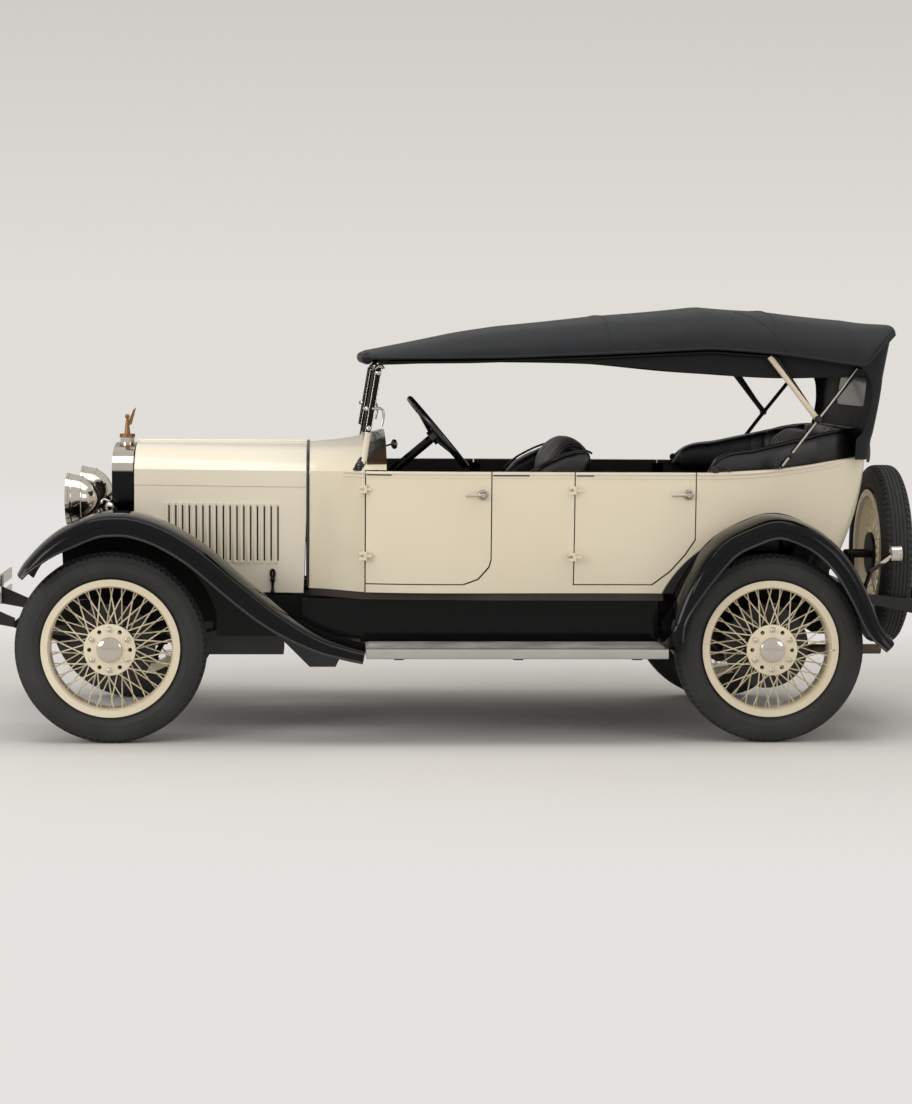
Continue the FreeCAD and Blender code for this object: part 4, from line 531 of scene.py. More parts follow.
def mirrored(piece, name=None):
    """The right-hand twin of a left-hand piece, with its own mesh."""
    pick(piece)
    bpy.ops.object.duplicate(linked=False)
    twin = bpy.context.object
    twin.name = name or other_side(piece.name)
    bpy.ops.transform.mirror(constraint_axis=(False, True, False), orient_type="GLOBAL",
                             center_override=(0, 0, 0))
    apply_place()
    edit(twin)
    bpy.ops.mesh.normals_make_consistent(inside=False)
    done_editing()
    for key in [k for k in twin.keys() if k.startswith("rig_")]:
        del twin[key]
    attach(twin, other_side(piece["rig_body"]))
    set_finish(twin, piece["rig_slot"])
    return twin


def paired(piece, finish, smooth=0.6, body="car", mate=None):
    """Settles a left-hand piece and makes its twin."""
    return mirrored(settled(piece, finish, smooth, body), mate)


def copied(piece, name):
    pick(piece)
    bpy.ops.object.duplicate(linked=False)
    copy = bpy.context.object
    copy.name = name
    return copy


def shifted(piece, centre, turn=0.0):
    """Moves a piece made round the origin to its place, and turns it about the upright first."""
    pick(piece)
    piece.rotation_euler = (0, 0, turn)
    piece.location = centre
    apply_place()
    return piece


def joined(name, pieces):
    pick(*pieces)
    bpy.ops.object.join()
    whole = bpy.context.object
    whole.name = name
    whole.data.name = name
    return whole


def tube(name, points, radius, closed=False, order=4, sides=4):
    """A round bar or bead along a smooth line."""
    curve = bpy.data.curves.new(name, "CURVE")
    curve.dimensions = "3D"
    spline = curve.splines.new("NURBS")
    spline.points.add(len(points) - 1)
    for knot, point in zip(spline.points, points):
        knot.co = (*point, 1.0)
    spline.order_u = min(order, len(points))
    spline.use_endpoint_u = not closed
    spline.use_cyclic_u = closed
    spline.resolution_u = 6 if order > 2 else 2
    curve.bevel_depth = radius
    curve.bevel_resolution = sides
    curve.use_fill_caps = not closed
    piece = bpy.data.objects.new(name, curve)
    bpy.context.scene.collection.objects.link(piece)
    pick(piece)
    bpy.ops.object.convert(target="MESH")
    return bpy.context.object


def spun(name, points, at, axis, steps):
    piece = mesh_piece(name, points, [(i, i + 1) for i in range(len(points) - 1)])
    edit(piece)
    bpy.ops.mesh.spin(steps=steps, angle=2 * math.pi, center=tuple(at), axis=tuple(axis))
    done_editing()
    return tidied(piece)


OFF_AXIS = 0.01


def turned(name, profile, at, direction, steps):
    """A piece spun from its profile of (reach along the axis, radius) pairs, kept just off the axis."""
    along = Vector(direction).normalized()
    across = along.orthogonal().normalized()
    points = [Vector(at) + along * (x * MM) + across * (max(r, OFF_AXIS) * MM) for x, r in profile]
    return spun(name, points, at, along, steps)


def both_ends(profile):
    """A profile given up to its middle, with the mirror image that closes it."""
    return profile + [(-x, r) for x, r in reversed(profile)]


def slab(name, low, high, bevel):
    """A small block between two corners, with its edges eased."""
    bpy.ops.object.select_all(action="DESELECT")
    bpy.ops.mesh.primitive_cube_add(size=1.0, location=(Vector(low) + Vector(high)) / 2)
    piece = bpy.context.object
    piece.name = name
    piece.scale = [abs(b - a) for a, b in zip(low, high)]
    pick(piece)
    apply_place()
    return rounded(piece, bevel)


def lattice(name, rows):
    """A cloth or panel laid through rows of points."""
    wide = len(rows[0])
    faces = []
    for i in range(len(rows) - 1):
        for k in range(i * wide, i * wide + wide - 1):
            faces.append((k, k + 1, k + wide + 1, k + wide))
    return mesh_piece(name, [p for row in rows for p in row], (), faces)


def panel(name, rows, thickness):
    """A lattice with its thickness, half to each side."""
    return tidied(modify(lattice(name, rows), "SOLIDIFY", thickness=thickness, offset=0.0))


def skinned(name, rings):
    """A closed piece through like outlines, one after another."""
    count = len(rings[0])
    last = count * (len(rings) - 1)
    faces = [tuple(range(count))[::-1], tuple(range(last, last + count))]
    for i in range(0, last, count):
        for j in range(count):
            k = (j + 1) % count
            faces.append((i + j, i + k, i + count + k, i + count + j))
    return tidied(mesh_piece(name, [p for ring in rings for p in ring], (), faces))


def spread(count, first, last):
    return [first + (last - first) * i / (count - 1) for i in range(count)]


def round_turn(count):
    """Cosine and sine of even turns all the way round."""
    return [(math.cos(t), math.sin(t)) for t in spread(count + 1, 0, 2 * math.pi)[:-1]]


def straight(rows, share):
    """Values read off rows whose first entry is where they stand, along straight runs between them."""
    share = min(max(share, rows[0][0]), rows[-1][0])
    for here, there in zip(rows, rows[1:]):
        if share <= there[0]:
            break
    t = (share - here[0]) / (there[0] - here[0])
    return [a + (b - a) * t for a, b in zip(here[1:], there[1:])]


def between(rows, share):
    """Values read off rows whose first entry is where they stand, along a smooth line through them."""
    share = min(max(share, rows[0][0]), rows[-1][0])
    for i in range(len(rows) - 1):
        if share <= rows[i + 1][0]:
            break
    here, there = rows[i], rows[i + 1]
    before = rows[i - 1] if i > 0 else None
    after = rows[i + 2] if i + 2 < len(rows) else None
    gap = there[0] - here[0]
    t = (share - here[0]) / gap
    found = []
    for k in range(1, len(here)):
        rise = (there[k] - here[k]) / gap
        first = last = rise
        if before:
            coming = here[k] - before[k]
            first = 0.0 if coming * rise <= 0 else (rise + coming / (here[0] - before[0])) / 2
        if after:
            going = after[k] - there[k]
            last = 0.0 if going * rise <= 0 else (rise + going / (after[0] - there[0])) / 2
        h = [2 * t ** 3 - 3 * t ** 2 + 1, t ** 3 - 2 * t ** 2 + t, 3 * t ** 2 - 2 * t ** 3, t ** 3 - t ** 2]
        found.append(h[0] * here[k] + h[1] * gap * first + h[2] * there[k] + h[3] * gap * last)
    return found


# The body's outer skin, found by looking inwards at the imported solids
OUTSIDE = 1200
INWARD = Vector((0, 1, 0))


def skin_of(*names):
    return [BVHTree.FromObject(NODES[name], bpy.context.evaluated_depsgraph_get()) for name in names]


def met(skins, start, towards):
    """The first point of the skins that a look from start towards a direction meets."""
    hits = [s.ray_cast(start, towards) for s in skins]
    hits = [h for h in hits if h[0] is not None]
    return min(hits, key=lambda h: h[3])[0] if hits else None


def from_left(skins, x, z):
    """The point that a look from the car's left meets at a place and height."""
    return met(skins, place(x, -OUTSIDE, z), INWARD)


def wrapped(skins, x, count, widest, lift):
    """Points round the body's section at one place, from the left side over the top to the right."""
    found = []
    for turn in spread(count, -widest, widest):
        out = Vector((0, math.sin(math.radians(turn)), math.cos(math.radians(turn))))
        hit = met(skins, place(x, 0, 900) + out * 1.2, -out)
        if hit is not None:
            found.append(hit + out * (lift * MM))
    return found


def wrapped_strip(name, count, widest, lines):
    """A thin strip round the cowl, whose lines give a place, the section it takes there and its lift."""
    skins, rows = skin_of("cowl"), []
    for x, section, lift in lines:
        rows.append(wrapped(skins, section, count, widest, lift))
        for point in rows[-1]:
            point.x = AXLE + x * MM
    shortest = min(len(row) for row in rows)
    return panel(name, [row[:shortest] for row in rows], 0.0012)


# Canopy cloth: crown, eave and width as shares along its length, and the section from edge to crown
CANOPY_FRONT, CANOPY_REAR = 1043.0, 3292.0
CANOPY_PEAK, CANOPY_EAVE, EAVE_RISE, CANOPY_HALF = 1845.0, 1617.0, 51.0, 690.0
CANOPY_ROWS = [(0.0, 0.06, 0.0, 0.96), (0.0084, 0.12, 0.0, 0.98), (0.0756, 0.263, 0.02, 1.0),
               (0.172, 0.46, 0.08, 1.0), (0.2686, 0.618, 0.16, 1.0), (0.4615, 0.82, 0.53, 1.0),
               (0.6558, 1.0, 1.0, 1.0), (0.7728, 0.934, 0.66, 1.0), (0.9457, 0.76, -0.39, 1.0),
               (1.0, 0.69, 2.27, 0.985)]
CANOPY_CORNER = CANOPY_FRONT + CANOPY_ROWS[-2][0] * (CANOPY_REAR - CANOPY_FRONT)
SECTION = [(0.0, 1.0, 0.0), (0.06, 0.988, 0.22), (0.16, 0.94, 0.52), (0.32, 0.82, 0.79), (0.58, 0.5, 0.95),
           (1.0, 0.0, 1.0)]
BOWS = (0.0, 457.0, 1038.0, 1475.0, 1747.0, 2103.0, 2249.0)
SEAMED_BOWS = (1038, 1747)
NOSE_Z = 1612
NOSE_END = [(-662, 0), (-660, 12), (-655, 20), (-645, 25), (-630, 26.5)]


def canopy_sizes(x):
    share = (x - CANOPY_FRONT) / (CANOPY_REAR - CANOPY_FRONT)
    crown, eave, wide = straight(CANOPY_ROWS, share)
    peak = CANOPY_EAVE + (CANOPY_PEAK - CANOPY_EAVE) * crown
    return peak, CANOPY_EAVE + EAVE_RISE * eave, CANOPY_HALF * wide


def bow_sag(x):
    """How far the cloth settles between the two bows on either side of a place."""
    reach = x - CANOPY_FRONT
    for first, last in zip(BOWS, BOWS[1:]):
        if reach <= last:
            share = (reach - first) / (last - first)
            return 4 * share * (1 - share)
    return 0.0


def canopy_point(x, across, sink=0.0):
    """A point on the cloth, across from -1 at the left edge to 1 at the right one."""
    crown, eave, half = canopy_sizes(x)
    wide, up = between(SECTION, 1 - abs(across))
    sag = bow_sag(x) * (1.0 * (1 - abs(across)) + 1.5)
    side = -1 if across < 0 else 1
    rise = max(crown - eave, 0) * up
    return place(x, side * (half - sink) * wide, eave + rise - sag * min(up * 3, 1) - sink)


def roof_height(x, y):
    crown, eave, half = canopy_sizes(x)
    up = straight([(wide, up) for share, wide, up in reversed(SECTION)], abs(y) / half)[0]
    return eave + (crown - eave) * up


def canopy_stations(count):
    """Places along the canopy, with one at each bow so that the cloth breaks there."""
    found = [CANOPY_REAR, CANOPY_CORNER, CANOPY_FRONT + 4, CANOPY_FRONT + 10, CANOPY_REAR - 3]
    for first, last in zip(BOWS, BOWS[1:]):
        steps = max(2, round(count * (last - first) / BOWS[-1]))
        found += [CANOPY_FRONT + first + (last - first) * i / steps for i in range(steps)]
    return sorted(found)


def canopy_seams():
    """Sewn seams: across two bows, and out to each edge near the second bow and the rear corner."""
    seams = []
    for bow in SEAMED_BOWS:
        seams.append([canopy_point(CANOPY_FRONT + bow, across) + Vector((0, 0, 0.0005))
                      for across in spread(33, -0.99, 0.99)])
    for _, side in SIDES:
        seams.append([canopy_point(2640 + 190 * t, side * (0.55 + 0.44 * t)) for t in spread(9, 0, 1)])
        seams.append([canopy_point(3289 + (CANOPY_CORNER - 3289) * t, side * (0.9 + 0.095 * t))
                      for t in spread(9, 0, 1)])
    return seams


def canopy_cloth():
    rows = [[canopy_point(x, across) for across in spread(61, -1, 1)] for x in canopy_stations(84)]
    roof = modify(lattice("canopy_cloth", rows), "SOLIDIFY", thickness=0.004, offset=1.0)
    settled(tidied(roof), "hood canvas", 1.2)
    for name, side in SIDES:
        edge = [canopy_point(x, side, 1.0) - Vector((0, 0, 0.004)) for x in canopy_stations(30)]
        settled(tube("canopy_piping_" + name, edge, 0.0055), "hood canvas", 1.2)
    nose = turned("canopy_nose", both_ends(NOSE_END), place(CANOPY_FRONT + 23, 0, NOSE_Z), (0, 1, 0), 24)
    settled(nose, "hood canvas", 0.9)
    for i, line in enumerate(canopy_seams()):
        settled(tube("canopy_seam_%d" % i, line, 0.0028, sides=2), "hood canvas", 1.2)
    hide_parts("canopy")
    return roof


BAND_FRONT, BAND_REAR, BAND_RUN, BAND_DROP, BAND_Y = 1113, 3160, 2125, 66, 636
BAND_ROWS = [(0.0, 0.5), (0.22, 0.29), (0.453, 0.42), (0.665, 1.0), (0.81, 1.2), (1.0, 0.9)]


def hanging_bands():
    """The strips that hang inside the canopy's edges."""
    rows = []
    for x in spread(70, BAND_FRONT, BAND_REAR):
        low = CANOPY_EAVE - BAND_DROP * between(BAND_ROWS, (x - BAND_FRONT) / BAND_RUN)[0]
        high = roof_height(x, BAND_Y) - 8
        wave_out = 2.0 * math.sin(x / 61.0) + 1.2 * math.sin(x / 23.0)
        rows.append([place(x, -(BAND_Y + wave_out * (1 - t)), low + (high - low) * t)
                     for t in spread(6, 0, 1)])
    # The bands take the near-black lining cloth: black cloth, darker still as painted shade under the roof's
    # edge.
    band = settled(panel("canopy_band_left", rows, 0.003), "hood lining", 1.2)
    for piece in (band, mirrored(band)):
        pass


CURTAIN_FOOT, CURTAIN_TOP = 1192.0, 1845.0
CURTAIN_BACK, CURTAIN_LEAN = 3224, 72
CURTAIN_HALF, CURTAIN_SPREAD = 548, 156
CORNER_ROUND, CORNER_FALL = 90.0, 76.0
FLAP_SHARE, BACK_SHARE = 0.25, 0.45
FLAP_ROWS = [(1192, 3160), (1279, 3160), (1303, 3182), (1365, 3202), (1454, 3216), (1534, 3206), (1590, 3160)]
WINDOW_HALF, WINDOW_LOW, WINDOW_HIGH, WINDOW_ROUND = 300, 1413, 1541, 28
WINDOW_MIDDLE = (WINDOW_LOW + WINDOW_HIGH) / 2
WINDOW_CORNERS = [(272, 1513), (-272, 1513), (-272, 1441), (272, 1441)]


def curtain_share(z):
    return (z - CURTAIN_FOOT) / (CURTAIN_TOP - CURTAIN_FOOT)


def curtain_back(z):
    return CURTAIN_BACK + CURTAIN_LEAN * curtain_share(z)


def curtain_point(s, z):
    """A point of the rear curtain, s from 0 at the left flap's front edge through 0.5 at the middle to 1."""
    share = curtain_share(z)
    rear = curtain_back(z)
    half = CURTAIN_HALF + CURTAIN_SPREAD * share
    front = between(FLAP_ROWS, z)[0]
    corner = min(CORNER_ROUND - CORNER_FALL * share, (rear - front) * 0.8)
    t = min(s, 1 - s) * 2
    if t < FLAP_SHARE:
        x, y = front + (rear - corner - front) * t / FLAP_SHARE, half
    elif t < BACK_SHARE:
        turn = (t - FLAP_SHARE) / (BACK_SHARE - FLAP_SHARE) * math.pi / 2
        x, y = rear - corner + corner * math.sin(turn), half - corner + corner * math.cos(turn)
    else:
        x, y = rear, (half - corner) * (1 - (t - BACK_SHARE) / (1 - BACK_SHARE))
    ripple = 3.0 * math.sin(y / 47.0) * math.sin(math.pi * share) * (0.4 + share)
    return x - abs(ripple) * 0.6 - 2, y * (-1 if s < 0.5 else 1), z


def curtain_top(s):
    """Height just under the roof's cloth, where the curtain is sewn to it."""
    top = 1640.0
    for _ in range(12):
        x, y, _ = curtain_point(s, top)
        top = (top + roof_height(min(x, CANOPY_REAR), y) - 7) / 2
    return min(top, CURTAIN_TOP)


def window_cuts():
    """Planes round the rear window, as a point and a normal in the curtain's upright plane."""
    cuts = [(WINDOW_HALF, WINDOW_MIDDLE, 1, 0), (-WINDOW_HALF, WINDOW_MIDDLE, -1, 0), (0, WINDOW_HIGH, 0, 1),
            (0, WINDOW_LOW, 0, -1)]
    for cy, cz in WINDOW_CORNERS:
        for turn in (math.radians(30), math.radians(60)):
            ny, nz = math.copysign(math.cos(turn), cy), math.copysign(math.sin(turn), cz - WINDOW_MIDDLE)
            cuts.append((cy + WINDOW_ROUND * ny, cz + WINDOW_ROUND * nz, ny, nz))
    return [(place(0, y, z), Vector((0, ny, nz))) for y, z, ny, nz in cuts]


def rear_curtain():
    columns = [(s, curtain_top(s)) for s in spread(73, 0, 1)]
    rows = [[place(*curtain_point(s, CURTAIN_FOOT + (top - CURTAIN_FOOT) * i / 40)) for s, top in columns]
            for i in range(41)]
    curtain = lattice("rear_curtain", rows)
    cuts = window_cuts()
    edit(curtain)
    for at, normal in cuts:
        bpy.ops.mesh.select_all(action="SELECT")
        bpy.ops.mesh.bisect(plane_co=at, plane_no=normal)
    choose_faces(curtain, lambda middle: middle.x > place(3200, 0, 0).x
                 and all((middle - at).dot(normal) < 0 for at, normal in cuts))
    bpy.ops.mesh.delete(type="FACE")
    done_editing()
    modify(curtain, "SOLIDIFY", thickness=0.003, offset=0.0)
    settled(tidied(curtain), "hood canvas", 1.0)
    outline = []
    for (cy, cz), first in zip(WINDOW_CORNERS, (0, 90, 180, 270)):
        for turn in (0, 30, 60, 90):
            a = math.radians(first + turn)
            outline.append(place(curtain_back(cz) + 2, cy + WINDOW_ROUND * math.cos(a),
                                 cz + WINDOW_ROUND * math.sin(a)))
    bead = settled(tube("rear_window_bead", outline, 0.006, closed=True), "hood canvas", 1.2)
    rows = [[place(curtain_back(z), y, z) for y in spread(13, -WINDOW_HALF, WINDOW_HALF)]
            for z in spread(5, WINDOW_LOW, WINDOW_HIGH)]
    pane = settled(panel("rear_window_pane", rows, 0.002), "celluloid", 1.0)


# Tyres: side ring, shoulder and ribbed tread up to the middle
TYRE_PROFILE = [(-45, 284), (-50, 292), (-56, 300), (-62, 312), (-66, 322), (-67.6, 324), (-67.6, 328),
                (-67.2, 332), (-68, 344), (-67.2, 356), (-66.2, 358), (-66.2, 363), (-63.8, 366),
                (-60.5, 376), (-58.8, 379), (-56.5, 384), (-50, 391.5), (-44, 395.5), (-36, 398.6),
                (-34.5, 395.5), (-31, 396.2), (-29.5, 399.3), (-20, 399.8), (-18.5, 396.6), (-15, 396.8),
                (-13.5, 400), (-3, 400), (-1.5, 396.8)]
TREAD_PITCHES = 84


def notched(middle):
    """True on every second stretch of the tyre's shoulder."""
    radius = math.hypot(middle.x, middle.z) / MM
    turn = int((math.atan2(middle.z, middle.x) + 2 * math.pi) / (math.pi / TREAD_PITCHES))
    return 384 < radius < 397 and 37 < abs(middle.y / MM) < 62 and turn % 2 == 0


def tyre_pattern():
    """A balloon tyre stood round the axle at the origin, with ribbed tread and a notched shoulder."""
    points = [Vector((r * MM, x * MM, 0)) for x, r in both_ends(TYRE_PROFILE)]
    piece = spun("tyre_pattern", points, (0, 0, 0), (0, 1, 0), TREAD_PITCHES * 2)
    edit(piece)
    choose_faces(piece, notched)
    bpy.ops.mesh.inset(thickness=0.0018, use_boundary=True)
    bpy.ops.transform.shrink_fatten(value=-0.0045)
    done_editing()
    return tidied(piece)


def spare_middle():
    low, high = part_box("spare_tyre")
    return (Vector(low) + Vector(high)) / 2


def tyres():
    pattern = tyre_pattern()
    for end, x in (("front", AXLE), ("rear", REAR_AXLE)):
        for side, sign in SIDES:
            corner = "%s_%s" % (end, side)
            ring = copied(pattern, "tyre_dressed_" + corner)
            shifted(ring, (x, sign * WHEEL_Y, AXLE_HEIGHT))
            settled(ring, "tyre rubber", 0.5, "wheel_" + corner)
            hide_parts("tyre_" + corner)
    shifted(pattern, spare_middle(), math.pi / 2)
    pattern.name = "tyre_dressed_spare"
    settled(pattern, "tyre rubber", 0.5)
    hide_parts("spare_tyre")


# Seats and padding: start, depth, base and top of each seat, and outlines as shares of them
FRONT_SEAT = (1480, 555, 622.3, 1298)
REAR_SEAT = (2420, 730, 752.3, 1316)
FRONT_CUSHION = [(0.0, 0.28), (0.74, 0.28), (0.74, 0.39), (0.144, 0.455), (0.05, 0.44), (0.01, 0.38)]
FRONT_BACK = [(0.735, 0.1), (0.855, 0.1), (0.93, 0.6), (0.985, 0.8), (1.0, 0.89), (0.98, 0.935),
              (0.92, 0.968), (0.85, 0.972), (0.78, 0.94), (0.72, 0.84), (0.63, 0.41)]
FRONT_BOLSTER = [(0.36, 0.42), (0.45, 0.7), (0.53, 0.768), (0.62, 0.81), (0.73, 0.855), (0.85, 0.885),
                 (0.95, 0.893), (0.985, 0.87), (0.97, 0.78), (0.88, 0.42)]
REAR_CUSHION = [(0.01, 0.06), (0.62, 0.06), (0.62, 0.3), (0.12, 0.35), (0.04, 0.335), (0.015, 0.29)]
REAR_BACK = [(0.6, 0.05), (0.79, 0.05), (0.965, 0.8), (0.97, 0.93), (0.95, 0.975), (0.84, 0.98),
             (0.755, 0.9), (0.6, 0.34)]
PADS = [("front_cushion", "front_seat", FRONT_SEAT, FRONT_CUSHION, 545, 14, 0),
        ("front_back", "front_seat", FRONT_SEAT, FRONT_BACK, 462, 14, 36.0),
        ("rear_cushion", "rear_seat", REAR_SEAT, REAR_CUSHION, 508, 14, 0),
        ("rear_back", "rear_seat", REAR_SEAT, REAR_BACK, 424, 12, 0)]
FLUTE_PITCH = 0.062
BOLSTER_OUTER, BOLSTER_INNER = 555, 472
SEAT_BOXES = [("front_seat_box", (1492, -540, 622.3), (1880, 540, 806)),
              ("rear_seat_box", (2432, -505, 752.3), (2868, 505, 782))]


def seat_outline(sizes, shares):
    start, depth, base, top = sizes
    return [(start + depth * a, base + (top - base) * u) for a, u in shares]


def profile_pad(name, outline, low_y, high_y, columns, fall=0.0):
    """A closed pad drawn in side view and run across the car, its top falling towards its ends."""
    middle_x = sum(x for x, z in outline) / len(outline)
    middle_z = sum(z for x, z in outline) / len(outline)
    crown = max(z for x, z in outline) - middle_z
    rings = []
    for y in spread(columns, low_y, high_y):
        pull = 0.98 if y in (low_y, high_y) else 1.0
        end = abs(2 * (y - low_y) / (high_y - low_y) - 1) ** 3 * fall
        rings.append([place(middle_x + (x - middle_x) * pull, y,
                            middle_z + (z - middle_z) * pull - end * max(z - middle_z, 0) / crown)
                      for x, z in outline])
    return modify(rounded(skinned(name, rings), 0.016), "REMESH", mode="VOXEL", voxel_size=0.014)


def stuffed(pad, cap):
    """Blows the pad up as its stuffing does, and holds every point to within cap of where it was cut."""
    start = [v.co.copy() for v in pad.data.vertices]
    cloth = pad.modifiers.new("cloth", "CLOTH")
    cloth.settings.use_pressure = True
    cloth.settings.uniform_pressure_force = 4.0
    cloth.settings.effector_weights.gravity = 0
    cloth.settings.quality = 4
    cloth.point_cache.frame_start, cloth.point_cache.frame_end = 1, 20
    scene = bpy.context.scene
    for step in range(1, 21):
        scene.frame_set(step)
    graph = bpy.context.evaluated_depsgraph_get()
    blown = [v.co.copy() for v in pad.evaluated_get(graph).data.vertices]
    pad.modifiers.remove(cloth)
    for vertex, here, there in zip(pad.data.vertices, start, blown):
        move = there - here
        if move.length > cap:
            move *= cap / move.length
        vertex.co = here + move
    scene.frame_set(1)


def fluted(pad, depth, test):
    """Sews channels across a pad: lines at an even pitch that pull its face in."""
    softened(pad)
    moved = []
    for vertex in pad.data.vertices:
        if test(vertex.normal):
            line = abs(math.sin(math.pi * vertex.co.y / FLUTE_PITCH))
            moved.append((vertex, vertex.normal * (-depth * (1 - line) ** 2)))
    for vertex, move in moved:
        vertex.co += move


def seats():
    for name, node, sizes, shares, half, columns, fall in PADS:
        pad = profile_pad(name, seat_outline(sizes, shares), -half, half, columns, fall)
        stuffed(pad, 0.012)
        if name.endswith("back"):
            fluted(pad, 0.011, lambda normal: normal.x < -0.35 or normal.z > 0.6)
        else:
            fluted(pad, 0.008, lambda normal: normal.z > 0.5)
        settled(pad, "seat leather", 1.2)
        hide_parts(node)
    for name, side in SIDES:
        outline = seat_outline(FRONT_SEAT, FRONT_BOLSTER)
        arm = profile_pad("front_bolster_" + name, outline, side * BOLSTER_OUTER, side * BOLSTER_INNER, 4)
        stuffed(arm, 0.008)
        settled(softened(arm), "seat leather", 1.2)
        line = [place(x, side * (BOLSTER_OUTER - 7), z + 2) for x, z in outline[1:8]]
        settled(tube("front_bolster_piping_" + name, line, 0.005, order=3), "seat leather", 1.2)
    for name, low, high in SEAT_BOXES:
        settled(slab(name, place(*low), place(*high), 0.004), "floor boards")


# Padded roll that rises round the tail above the body's edge
ROLL_BASE, ROLL_LOW, ROLL_RISE = 1100, 1080, 246
ROLL_HALF_WIDTH = 40
ROLL_START, ROLL_RUN = 2519, 700
ROLL_RISES = [(0.0, 0.28), (0.049, 0.455), (0.304, 0.646), (0.547, 0.805), (0.79, 0.963), (0.9, 1.0),
              (1.0, 1.0)]
CHANNEL_PITCH, CHANNEL_DEPTH, CHANNELS_FROM = 66.0, 0.2, 2840
PIPING_OUT, PIPING_DOWN = 33, 8


def roll_path():
    """The roll's middle line in plan, from the left rear door round the tail to the right one."""
    skins = skin_of("body_rear", "door_rear_left", "body_sides")
    centre = [(x, from_left(skins, x, 1120).y / MM + 112) for x in spread(15, 2524, 3000)]
    y = centre[-1][1]
    centre += [(3050, y + 3), (3100, y + 14), (3140, y + 48), (3160, y + 110), (3164, y + 190), (3164, -120),
               (3164, 0)]
    path = centre + [(x, -y) for x, y in reversed(centre[:-1])]
    marks = [(i, x, y) for i, (x, y) in enumerate(path)]
    return [between(marks, t) for t in spread(190, 0, len(path) - 1)]


def tail_roll():
    rows, piping = [], []
    path = roll_path()
    travelled = 0.0
    for i, (x, y) in enumerate(path):
        travelled += math.hypot(x - path[i - 1][0], y - path[i - 1][1]) if i else 0.0
        sewing = CHANNEL_DEPTH * min(max((x - CHANNELS_FROM) / 120, 0), 1)
        channel = (1 - abs(math.sin(math.pi * travelled / CHANNEL_PITCH))) ** 2 * sewing
        before, after = path[max(i - 1, 0)], path[min(i + 1, len(path) - 1)]
        along = Vector((after[0] - before[0], after[1] - before[1], 0)).normalized()
        out = Vector((along.y, -along.x, 0))
        out = -out if out.dot(Vector((x - 2700, y, 0))) < 0 else out
        top = ROLL_LOW + ROLL_RISE * between(ROLL_RISES, (x - ROLL_START) / ROLL_RUN)[0]
        first = min(1.0, 0.35 + 0.13 * min(i, len(path) - 1 - i))
        row = []
        for c, s in round_turn(16):
            sewn = 1 - channel * min(max(0.5 - c, 0), 1)
            wide = ROLL_HALF_WIDTH * first * math.copysign(abs(c) ** 0.6, c) * sewn
            high = (top - ROLL_BASE) / 2 * first * math.copysign(abs(s) ** 0.7, s) * (1 + sewn) / 2
            row.append(place(x + out.x * wide, y + out.y * wide, (top + ROLL_BASE) / 2 + high - 3))
        rows.append(row + row[:1])
        piping.append(place(x + out.x * PIPING_OUT, y + out.y * PIPING_OUT, top - PIPING_DOWN))
    roll = lattice("tail_roll", rows)
    edit(roll)
    bpy.ops.mesh.remove_doubles(threshold=0.0001)
    bpy.ops.mesh.select_mode(type="EDGE")
    bpy.ops.mesh.select_all(action="DESELECT")
    bpy.ops.mesh.select_non_manifold()
    bpy.ops.mesh.fill()
    done_editing()
    settled(softened(tidied(roll)), "seat leather", 1.2)
    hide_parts("rear_seat")
    settled(tube("tail_roll_piping", piping[::4], 0.005), "seat leather", 1.2)


# Belt moulding, in a length on each door and fixed panel so that it opens with them
BELT_PIECES = [("cowl", "car", 974, 1058), ("door_front_left", "door_front_left", 1064, 1589),
               ("body_sides", "car", 1595, 1941), ("door_rear_left", "door_rear_left", 1947, 2455)]
BELT_INSERTS = [("door_front_left", "door_front_left", 1067, 1170), ("body_sides", "car", 1598, 1750),
                ("door_rear_left", "door_rear_left", 1950, 2023)]
INSERT_Z = 1124
BELT_BEADS = [("top", 1131, 6, 7.0), ("low", 1113, 24, 3.5)]
TAIL_BELT = [(2460, 1137), (2519, 1137), (2690, 1141), (2819, 1152), (2989, 1174), (3118, 1196), (3236, 1204)]


def belt_moulding():
    for name, body, first, last in BELT_PIECES:
        skins = skin_of(name)
        for label, z, drop, radius in BELT_BEADS:
            hits = [from_left(skins, x, z) for x in spread(12, first, last)]
            line = [hit + INWARD * (radius * 0.1 * MM) for hit in hits if hit is not None]
            if len(line) > 3:
                bead = tube("belt_%s_%s" % (label, name), line, radius * MM, sides=2)
                paired(bead, "coach cream", 0.6, body, "belt_%s_%s_mate" % (label, name))
    for name, body, first, last in BELT_INSERTS:
        skins = skin_of(name)
        line = [from_left(skins, x, INSERT_Z) for x in spread(5, first, last)]
        insert = tube("belt_insert_" + name, line, 0.0042, sides=2)
        paired(insert, "dark steel", 0.6, body, "belt_insert_%s_mate" % name)
    tail = skin_of("body_rear")
    for label, z, drop, radius in BELT_BEADS:
        half = [from_left(tail, x, between(TAIL_BELT, x)[0] - drop) for x in spread(22, 2463, 3105)]
        half += [met(tail, place(4000, y, 1203 - drop), Vector((-1, 0, 0))) for y in spread(12, -470, 0)]
        half = [hit for hit in half if hit is not None]
        line = half + [Vector((p.x, -p.y, p.z)) for p in reversed(half[:-1])]
        settled(tube("belt_%s_tail" % label, line, radius * MM, sides=2), "coach cream")


# Running boards: ribbed rubber mat and bright nosing
MAT_INNER, MAT_OUTER, MAT_RIBS = 556, 822, 22
MAT_RIB = [(0, 404.5), (0.2, 407.5), (0.6, 407.5), (0.8, 404.5)]
NOSING = [(822, 404.3), (822, 410), (838, 411), (848, 407), (851.5, 399), (851.5, 376), (848, 369),
          (840, 366.5), (838, 369.6), (846, 373), (849.2, 380), (849.2, 396), (844, 403)]


